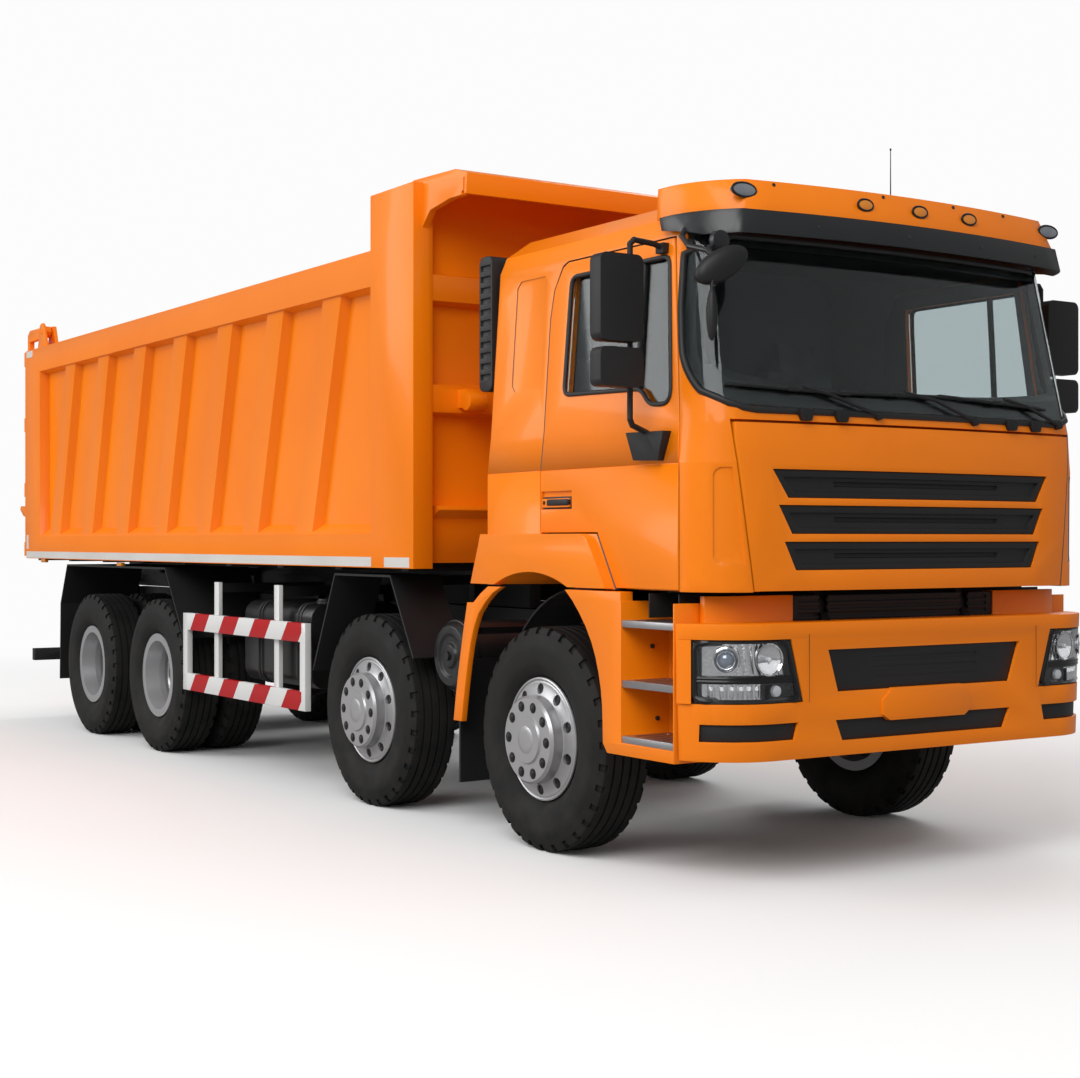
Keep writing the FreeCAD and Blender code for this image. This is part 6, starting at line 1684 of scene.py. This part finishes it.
@dataclass
class CabTrim:
    """Small fittings on the cab: handles, aerial, lamp rims, bolts and step screws."""

    handle_low: Point = (3.443, 1.190, 1.681)
    handle_high: Point = (3.672, 1.212, 1.727)
    aerial: Point = (4.400, 0.174, 3.050)
    aerial_tip: float = 3.405
    lamps: list[tuple[float, float, float, float]] = field(default_factory=lambda: [
        (-0.968, 3.044, 0.066, 0.030), (-0.330, 3.030, 0.045, 0.025), (0.0, 3.030, 0.045, 0.025),
        (0.330, 3.030, 0.045, 0.025), (0.968, 3.044, 0.066, 0.030),
    ])
    visor_bolts: tuple[float, ...] = (-0.80, -0.199, 0.251, 0.62)
    visor_bolt_z: float = 3.082
    shade_screws: tuple[float, ...] = (-0.62, -0.10, 0.38, 0.80)
    shade_screw_z: float = 2.900
    step_screws: tuple[tuple[float, float], ...] = ((1.070, 1.043), (1.041, 0.714))
    step_wall: tuple[float, float] = (4.145, 4.157)

    def build(self, bench: Bench, skin: Skin) -> None:
        """Fit everything.

        Args:
            bench: The modelling steps.
            skin: The cab's outer faces.
        """
        self._handles(bench)
        self._aerial(bench)
        self._rims(bench, skin)
        self._bolts(bench, skin)

    def _handles(self, bench: Bench) -> None:
        """Fit a black handle with its plate and lock on each door.

        Args:
            bench: The modelling steps.
        """
        x0, y0, z0 = self.handle_low
        x1, y1, z1 = self.handle_high
        plate = bench.block("plate", (x0 - 0.012, y0 - 0.008, z0 - 0.006),
                            (x1 + 0.012, y0 + 0.004, z1 + 0.006), 0.004)
        grip = bench.block("grip", (x0 + 0.045, y0 + 0.002, z0 + 0.008), (x1, y1, z1 - 0.006), 0.008, 3)
        lock = bench.drum("lock", (x0 + 0.018, y0, (z0 + z1) / 2), (x0 + 0.018, y1 - 0.006, (z0 + z1) / 2),
                          0.013, 20)
        whole = bench.join("door_handle_left", [plate, grip, lock])
        other = bench.copy(whole, "door_handle_right", mirrored=True)
        bench.wear(whole, "black_plastic", "door_assembly_left")
        bench.wear(other, "black_plastic", "door_assembly_right")

    def _aerial(self, bench: Bench) -> None:
        """Stand the aerial on the roof.

        Args:
            bench: The modelling steps.
        """
        x, y, z = self.aerial
        profile = [(0.0, -0.02), (0.022, -0.02), (0.021, 0.006), (0.012, 0.016), (0.006, 0.040),
                   (0.0, 0.042)]
        foot = bench.turned("foot", profile, (x, y, z), 24, (0.0, 0.0, 1.0))
        rod = bench.drum("rod", (x, y, z + 0.03), (x, y, self.aerial_tip), 0.0035, 10, 0.0005, 0.002)
        tip = bench.drum("tip", (x, y, self.aerial_tip - 0.004), (x, y, self.aerial_tip + 0.006), 0.0045,
                         10, 0.001)
        bench.wear(bench.join("aerial", [foot, rod, tip]), "black_plastic", "cab")

    def _rims(self, bench: Bench, skin: Skin) -> None:
        """Ring each roof lamp with a dark rim that follows the visor.

        Args:
            bench: The modelling steps.
            skin: The cab's outer faces, not used here.
        """
        rings = []
        for y, z, wide, high in self.lamps:
            front = max(spot.co.x for spot in bench.frame["nodes"]["roof_lamps"].data.vertices
                        if abs(spot.co.y - y) < wide)
            path = []
            for index in range(24):
                angle = 2 * math.pi * index / 24
                path.append((front - 0.004, y + wide * math.cos(angle), z + high * math.sin(angle)))
            rings.append(bench.tube("ring", path, 0.0060, closed=True, sides=2))
        bench.wear(bench.join("roof_lamp_rims", rings), "black_plastic", "cab")
        lamps = bench.carried("roof_lamps", "roof_lamp_lenses", 0.004, 50.0)
        bench.wear(lamps, "lamp_amber", "cab")
        bench.second_finish(lamps, "marker_grey", lambda place, normal: abs(place.y) > 0.7)
        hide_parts("roof_lamps")

    def _bolts(self, bench: Bench, skin: Skin) -> None:
        """Set the visor's screws and the step boxes' screws.

        Args:
            bench: The modelling steps.
            skin: The cab's outer faces.
        """
        heads = []
        for y in self.visor_bolts:
            hit = skin.from_front(y, self.visor_bolt_z)
            heads.append(bench.drum("head", (hit.x - 0.006, hit.y, hit.z),
                                    (hit.x + 0.005, hit.y, hit.z + 0.001), 0.008, 12))
        for y in self.shade_screws:
            hit = skin.from_front(y, self.shade_screw_z)
            heads.append(bench.drum("head", (hit.x - 0.006, hit.y, hit.z), (hit.x + 0.004, hit.y, hit.z),
                                    0.009, 12))
        bench.wear(bench.join("visor_screws", heads), "black_plastic", "cab", "nut_steel")
        screws = []
        for side in Side:
            for y, z in self.step_screws:
                start, end = ((x, side.value * y, z) for x in self.step_wall)
                screws.append(bench.drum("screw", start, end, 0.012, 6, 0.002))
        bench.wear(bench.join("step_screws", screws), "black_plastic", "chassis", "nut_steel")


# Painted sheet metal

@dataclass
class PaintedMetal:
    """Softened copies of the painted and plated solids, with lined insides."""

    flat_rounding: float = 0.005
    cab_middle: Point = (3.80, 0.0, 2.20)
    belt: tuple[float, float] = (1.856, 1.863)
    header: float = 2.8665
    board_ends: tuple[float, float] = (-0.968, 0.845)
    board_levels: tuple[float, float] = (0.606, 0.906)
    board_y: float = 1.2
    rebate: Outline = field(default_factory=lambda: [
        (2.098, 4.745), (2.104, 4.725), (2.122, 4.685), (2.151, 4.638), (2.184, 4.596), (2.232, 4.556),
        (2.284, 4.522), (2.338, 4.497), (2.399, 4.485), (2.547, 4.465), (2.769, 4.456), (2.868, 4.456),
    ])

    def build(self, bench: Bench) -> None:
        """Make every copy.

        Args:
            bench: The modelling steps.
        """
        for node, name, slot, body, rounding in (
                ("dump_body", "tipper_body", "orange_paint", "bed", self.flat_rounding),
                ("tailgate", "tipper_gate", "orange_paint", "gate", self.flat_rounding),
                ("front_bumper", "bumper_shell", "orange_paint", "chassis", 0.006),
                ("lower_fenders", "step_boxes", "orange_paint", "chassis", 0.004),
                ("underrun_bar", "underrun_beam", "frame_black", "chassis", 0.004),
                ("battery_box", "battery_case", "tank_black", "chassis", 0.006),
                ("bumper_grille", "bumper_inserts", "black_plastic", "chassis", 0.002),
                ("grilles", "lid_grilles", "black_plastic", "lid", 0.004),
                ("front_lid", "lid_panel", "orange_paint", "lid", 0.004),
                ("step_treads", "step_plates", "tread_alloy", "chassis", 0.0015),
                ("roof_visor", "roof_fairing", "orange_paint", "cab", 0.006),
                ("snorkel", "intake_snorkel", "black_plastic", "cab", 0.003),
                ("fuel_tank", "tank_shell", "tank_black", "chassis", 0.004),
                ("air_filter", "filter_case", "tank_black", "chassis", 0.003),
                ("mirror_left", "door_mirror_left", "black_plastic", "door_assembly_left", 0.010),
                ("mirror_right", "door_mirror_right", "black_plastic", "door_assembly_right", 0.010)):
            piece = bench.carried(node, name, rounding)
            bench.wear(piece, slot, body)
            # Inner faces behind the front wheels go black: painted shade under the cab.
            if node == "lower_fenders":
                bench.second_finish(piece, "frame_black",
                                    lambda place, normal: place.x < 3.4 and abs(place.y) < 1.19)
            # Low faces that face down or lie inside the side walls go black: partly the subframe's own black,
            # partly painted shade under the body.
            if node == "dump_body":
                bench.second_finish(piece, "frame_black", lambda place, normal: place.z < 1.42
                                    and (normal.z < -0.5 or abs(place.y) < 1.19))
            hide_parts(node)
        self._guards(bench)
        self._sun_visor(bench)
        self._cab(bench)
        self._doors(bench)

    def _guards(self, bench: Bench) -> None:
        """Make the white side guards with banded boards.

        Args:
            bench: The modelling steps.
        """
        guards = bench.carried("side_guards", "side_guard_rails", 0.003)
        rear, front = self.board_ends
        lower, upper = self.board_levels
        for x in self.board_ends:
            bench.split(guards, (x, 0.0, 0.0), (1.0, 0.0, 0.0))
        for z in self.board_levels:
            bench.split(guards, (0.0, 0.0, z), (0.0, 0.0, 1.0))
        bench.wear(guards, "guard_white", "chassis")
        bench.second_finish(guards, "guard_bands", lambda place, normal: abs(place.y) > self.board_y
                            and rear < place.x < front and upper - 0.001 < place.z < 1.03)
        bench.second_finish(guards, "low_bands", lambda place, normal: abs(place.y) > self.board_y
                            and rear < place.x < front and place.z < lower + 0.001)
        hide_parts("side_guards")

    def _in_rebate(self, place: Vector) -> bool:
        """Tell whether a face lies in the windscreen's opening.

        Args:
            place: The face's middle.

        Returns:
            Whether it does.
        """
        for (z0, x0), (z1, x1) in zip(self.rebate, self.rebate[1:]):
            if z0 <= place.z < z1:
                return place.x > x0 + (x1 - x0) * (place.z - z0) / (z1 - z0) + 0.001
        return False

    def _sun_visor(self, bench: Bench) -> None:
        """Make the dark visor, with a tilted oval kerb mirror and its hanging lamp.

        Args:
            bench: The modelling steps.
        """
        visor = bench.carried("sun_visor", "dark_sun_visor", 0.004)
        bench.erase(visor, lambda place, normal: place.x > 4.715 and -1.28 < place.y < -1.07
                    and place.z < 2.765)
        bench.wear(visor, "dark_visor", "cab", "", 50.0)
        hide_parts("sun_visor")
        dish = [(0.0, -0.026), (0.070, -0.026), (0.092, -0.022), (0.100, -0.012), (0.100, 0.0),
                (0.094, 0.014), (0.070, 0.026), (0.035, 0.033), (0.0, 0.035)]
        head = bench.turned("head", dish, (0.0, 0.0, 0.0), 40, (1.0, 0.0, 0.0))
        head.scale = (1.0, 1.32, 0.66)
        bench.settle(head)
        head.rotation_euler = (math.radians(30.0), 0.0, math.radians(-18.0))
        head.location = (4.769, -1.166, 2.690)
        bench.settle(head)
        bulge = [(0.0, -0.115), (0.008, -0.110), (0.018, -0.080), (0.024, -0.030), (0.024, 0.030),
                 (0.017, 0.080), (0.008, 0.104), (0.0, 0.108)]
        pod = bench.turned("pod", bulge, (4.772, -1.222, 2.478), 24, (0.0, 0.0, 1.0))
        link = bench.tube("link", [(4.765, -1.210, 2.645), (4.770, -1.220, 2.600), (4.772, -1.222, 2.570)],
                          0.007)
        knuckle = bench.drum("knuckle", (4.700, -1.188, 2.760), (4.745, -1.178, 2.715), 0.016, 20, 0.004)
        bench.wear(bench.join("kerb_mirror", [head, pod, link, knuckle]), "dark_visor", "cab",
                   "black_plastic", 50.0)

    def _cab(self, bench: Bench) -> None:
        """Make the cab's shell with a dark lining, and black as painted shade on its low inner parts.

        Args:
            bench: The modelling steps.
        """
        shell = bench.carried("cab_shell", "cab_body", 0.004)
        bench.wear(shell, "orange_paint", "cab")
        bench.split(shell, (0.0, 0.0, self.header), (0.0, 0.0, 1.0))
        for side in Side:
            bench.groove(shell, *self.belt, 0.003, side.value, lambda place, normal: abs(place.y) > 1.1
                         and place.x < 3.60)
        middle = Vector(self.cab_middle)
        bench.second_finish(shell, "lining_grey", lambda place, normal: place.z > 1.31
                            and (place - middle).dot(normal) < -0.02 and abs(place.y) < 1.165)
        bench.second_finish(shell, "seal_rubber", lambda place, normal: self._in_rebate(place)
                            or place.x > 4.45 and self.header < place.z < 3.0 and abs(place.y) < 1.12)
        # Low inner faces of the shell go black: painted shade under the cab.
        bench.second_finish(shell, "frame_black",
                            lambda place, normal: place.z < 1.302 and abs(place.y) < 1.14)
        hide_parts("cab_shell")

    def _doors(self, bench: Bench) -> None:
        """Make the doors with dark inner faces.

        Args:
            bench: The modelling steps.
        """
        for side in Side:
            door = bench.carried(f"door_{side.word}", f"door_panel_{side.word}", 0.003)
            bench.groove(door, *self.belt, 0.003, side.value, lambda place, normal: True)
            bench.wear(door, "orange_paint", f"door_assembly_{side.word}")
            bench.second_finish(door, "lining_grey", lambda place, normal, s=side.value: normal.y * s < -0.5)
            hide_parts(f"door_{side.word}")


# Dump body

@dataclass
class BodyTrim:
    """Reflective strips, markers and hinge lugs of the dump body, and fittings of tank and filter."""

    wall_y: float = 1.245
    strip: tuple[float, float] = (1.375, 1.430)
    runs: Outline = field(default_factory=lambda: [(-4.605, 1.748), (1.902, 2.190)])
    patches: list[tuple[float, float, float, float]] = field(default_factory=lambda: [
        (-4.600, 1.450, -4.550, 1.570), (-4.600, 3.092, -4.440, 3.146),
    ])
    sink: float = 0.002
    proud: float = 0.0012
    gate_pin: Point = (-4.200, 0.0, 3.285)
    lug_y: float = 1.222
    marker_y: tuple[float, float] = (1.205, 1.240)
    strap_x: tuple[float, ...] = (-0.020, 0.025, 0.560, 0.605)
    strap_line: Outline = field(default_factory=lambda: [
        (-1.1325, 1.1325), (-0.4975, 1.1325), (-0.4975, 0.6025), (-1.1325, 0.6025),
    ])
    cap_place: Point = (0.640, -0.980, 1.125)
    filter_x: float = 2.400
    filter_z: float = 0.905
    # Black screens behind the gap over the bumper: painted shade standing in for the dark space behind it.
    shields: tuple[tuple[Point, Point], ...] = (
        ((4.446, -1.150, 1.180), (4.454, 1.150, 1.288)),
        ((4.296, -1.200, 1.180), (4.304, 1.200, 1.288)),
    )

    def build(self, bench: Bench) -> None:
        """Fit everything.

        Args:
            bench: The modelling steps.
        """
        self._strips(bench)
        self._lugs(bench)
        self._markers(bench)
        self._tank(bench)
        # These black screens are painted shade behind the gap over the bumper.
        shields = [bench.block("shield", low, high, 0.002) for low, high in self.shields]
        bench.wear(bench.join("radiator_shields", shields), "frame_black", "chassis")

    def _strips(self, bench: Bench) -> None:
        """Lay the white strips along the bottom rails and the patches on the rear posts.

        Args:
            bench: The modelling steps.
        """
        y0, y1 = self.wall_y - self.sink, self.wall_y + self.proud
        foot, top = self.strip
        strips = []
        for x0, z0, x1, z1 in [(start, foot, end, top) for start, end in self.runs] + self.patches:
            strips.append(bench.block("strip", (x0, y0, z0), (x1, y1, z1), 0.0005, 1))
        whole = bench.join("reflective_strips_left", strips)
        other = bench.copy(whole, "reflective_strips_right", mirrored=True)
        for piece in (whole, other):
            bench.wear(piece, "guard_white", "bed", "strip_white")

    def _lugs(self, bench: Bench) -> None:
        """Double the tailgate's hinge lugs and head its pins.

        Args:
            bench: The modelling steps.
        """
        x, _, z = self.gate_pin
        y = self.lug_y
        outline = [(x - 0.110, y, 3.150), (x + 0.135, y, 3.150), (x + 0.052, y, z + 0.050),
                   (x + 0.020, y, z + 0.070), (x - 0.030, y, z + 0.070), (x - 0.060, y, z + 0.048)]
        lug = bench.plate("lug", outline, (0.0, 0.018, 0.0), 0.003)
        pin = bench.turned("pin", [(0.0, 0.0), (0.036, 0.0), (0.036, 0.010), (0.030, 0.014), (0.022, 0.014),
                                   (0.020, 0.022), (0.0, 0.022)], (x, y, z), 24)
        whole = bench.join("gate_lugs_left", [lug, pin])
        other = bench.copy(whole, "gate_lugs_right", mirrored=True)
        for piece in (whole, other):
            bench.wear(piece, "orange_paint", "bed")

    def _markers(self, bench: Bench) -> None:
        """Fit the small amber side markers under the body and over the rear mudguards.

        Args:
            bench: The modelling steps.
        """
        hung, stood = [], []
        for side in Side:
            y0, y1 = sorted(side.value * y for y in self.marker_y)
            hung.append(bench.block("marker", (-4.225, y0, 1.338), (-4.130, y1, 1.372), 0.006, 3))
            stood.append(bench.block("marker", (-2.395, y0, 1.328), (-2.300, y1, 1.356), 0.006, 3))
        bench.wear(bench.join("body_markers", hung), "lamp_amber", "bed")
        bench.wear(bench.join("guard_markers", stood), "lamp_amber", "chassis")

    def _tank(self, bench: Bench) -> None:
        """Strap and cap the fuel tank, and fit the air filter's clamp ring and knob.

        Args:
            bench: The modelling steps.
        """
        straps = []
        outline = softened(self.strap_line, 0.095, 5)
        for x in self.strap_x:
            straps.append(bench.tube("strap", [(x, y, z) for y, z in outline], 0.007, closed=True, sides=1))
        profile = [(0.0, -0.01), (0.056, -0.01), (0.056, 0.018), (0.050, 0.024), (0.046, 0.034),
                   (0.0, 0.036)]
        cap = bench.turned("cap", profile, self.cap_place, 28, (0.0, 0.0, 1.0))
        bench.wear(bench.join("tank_straps", straps + [cap]), "tank_black", "chassis", "nut_steel")
        ring = bench.turned("ring", [(0.1845, -0.020), (0.192, -0.018), (0.192, 0.018), (0.1845, 0.020)],
                            (self.filter_x, -1.060, self.filter_z), 44)
        knob = bench.turned("knob", [(0.0, 0.0), (0.026, 0.0), (0.024, -0.016), (0.0, -0.018)],
                            (self.filter_x, -1.121, self.filter_z), 20)
        bench.wear(bench.join("filter_clamp", [ring, knob]), "tank_black", "chassis")


class Truck:
    """The carried-over solids and the finishes that they wear."""

    def __init__(self, frame: dict, palette: Palette) -> None:
        """Keep the frame and the palette."""
        self.frame = frame
        self.palette = palette

    def dress_nodes(self) -> None:
        """Give every carried-over solid its finish."""
        for part in self.frame["record"]["subparts"]:
            node = self.frame["nodes"][part["node"]]
            node.data.materials.clear()
            node.data.materials.append(self.palette[part["material_slot"]])
        LOG.info("dressed %d solids", len(self.frame["nodes"]))


def main() -> None:
    """Load the frame, build the studio and dress the truck."""
    logging.basicConfig(level=logging.INFO, format="%(message)s")
    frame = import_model()
    bpy.ops.object.select_all(action="DESELECT")
    Studio().build()
    palette = Palette()
    truck = Truck(frame, palette)
    truck.dress_nodes()
    bench = Bench(frame, palette)
    skin = Skin(frame, ["cab_shell", "windscreen", "roof_visor", "roof_lamps", "front_lid",
                        "door_left", "door_right", "door_glass_left", "door_glass_right"])
    outside = Skin(frame, ["cab_shell", "windscreen", "door_left", "door_right"])
    visor = Skin(frame, ["roof_visor", "sun_visor"])
    for made in (RoadTyres(), WheelTrim(), LampSet(), PaintedMetal(), BodyTrim()):
        made.build(bench)
        LOG.info("%s built, %d pieces so far", type(made).__name__, bench.count)
    for made, faces in ((GlassTrim(), outside), (Wipers(), skin), (CabTrim(), visor)):
        made.build(bench, faces)
        LOG.info("%s built, %d pieces so far", type(made).__name__, bench.count)


if __name__ == "__main__":
    main()
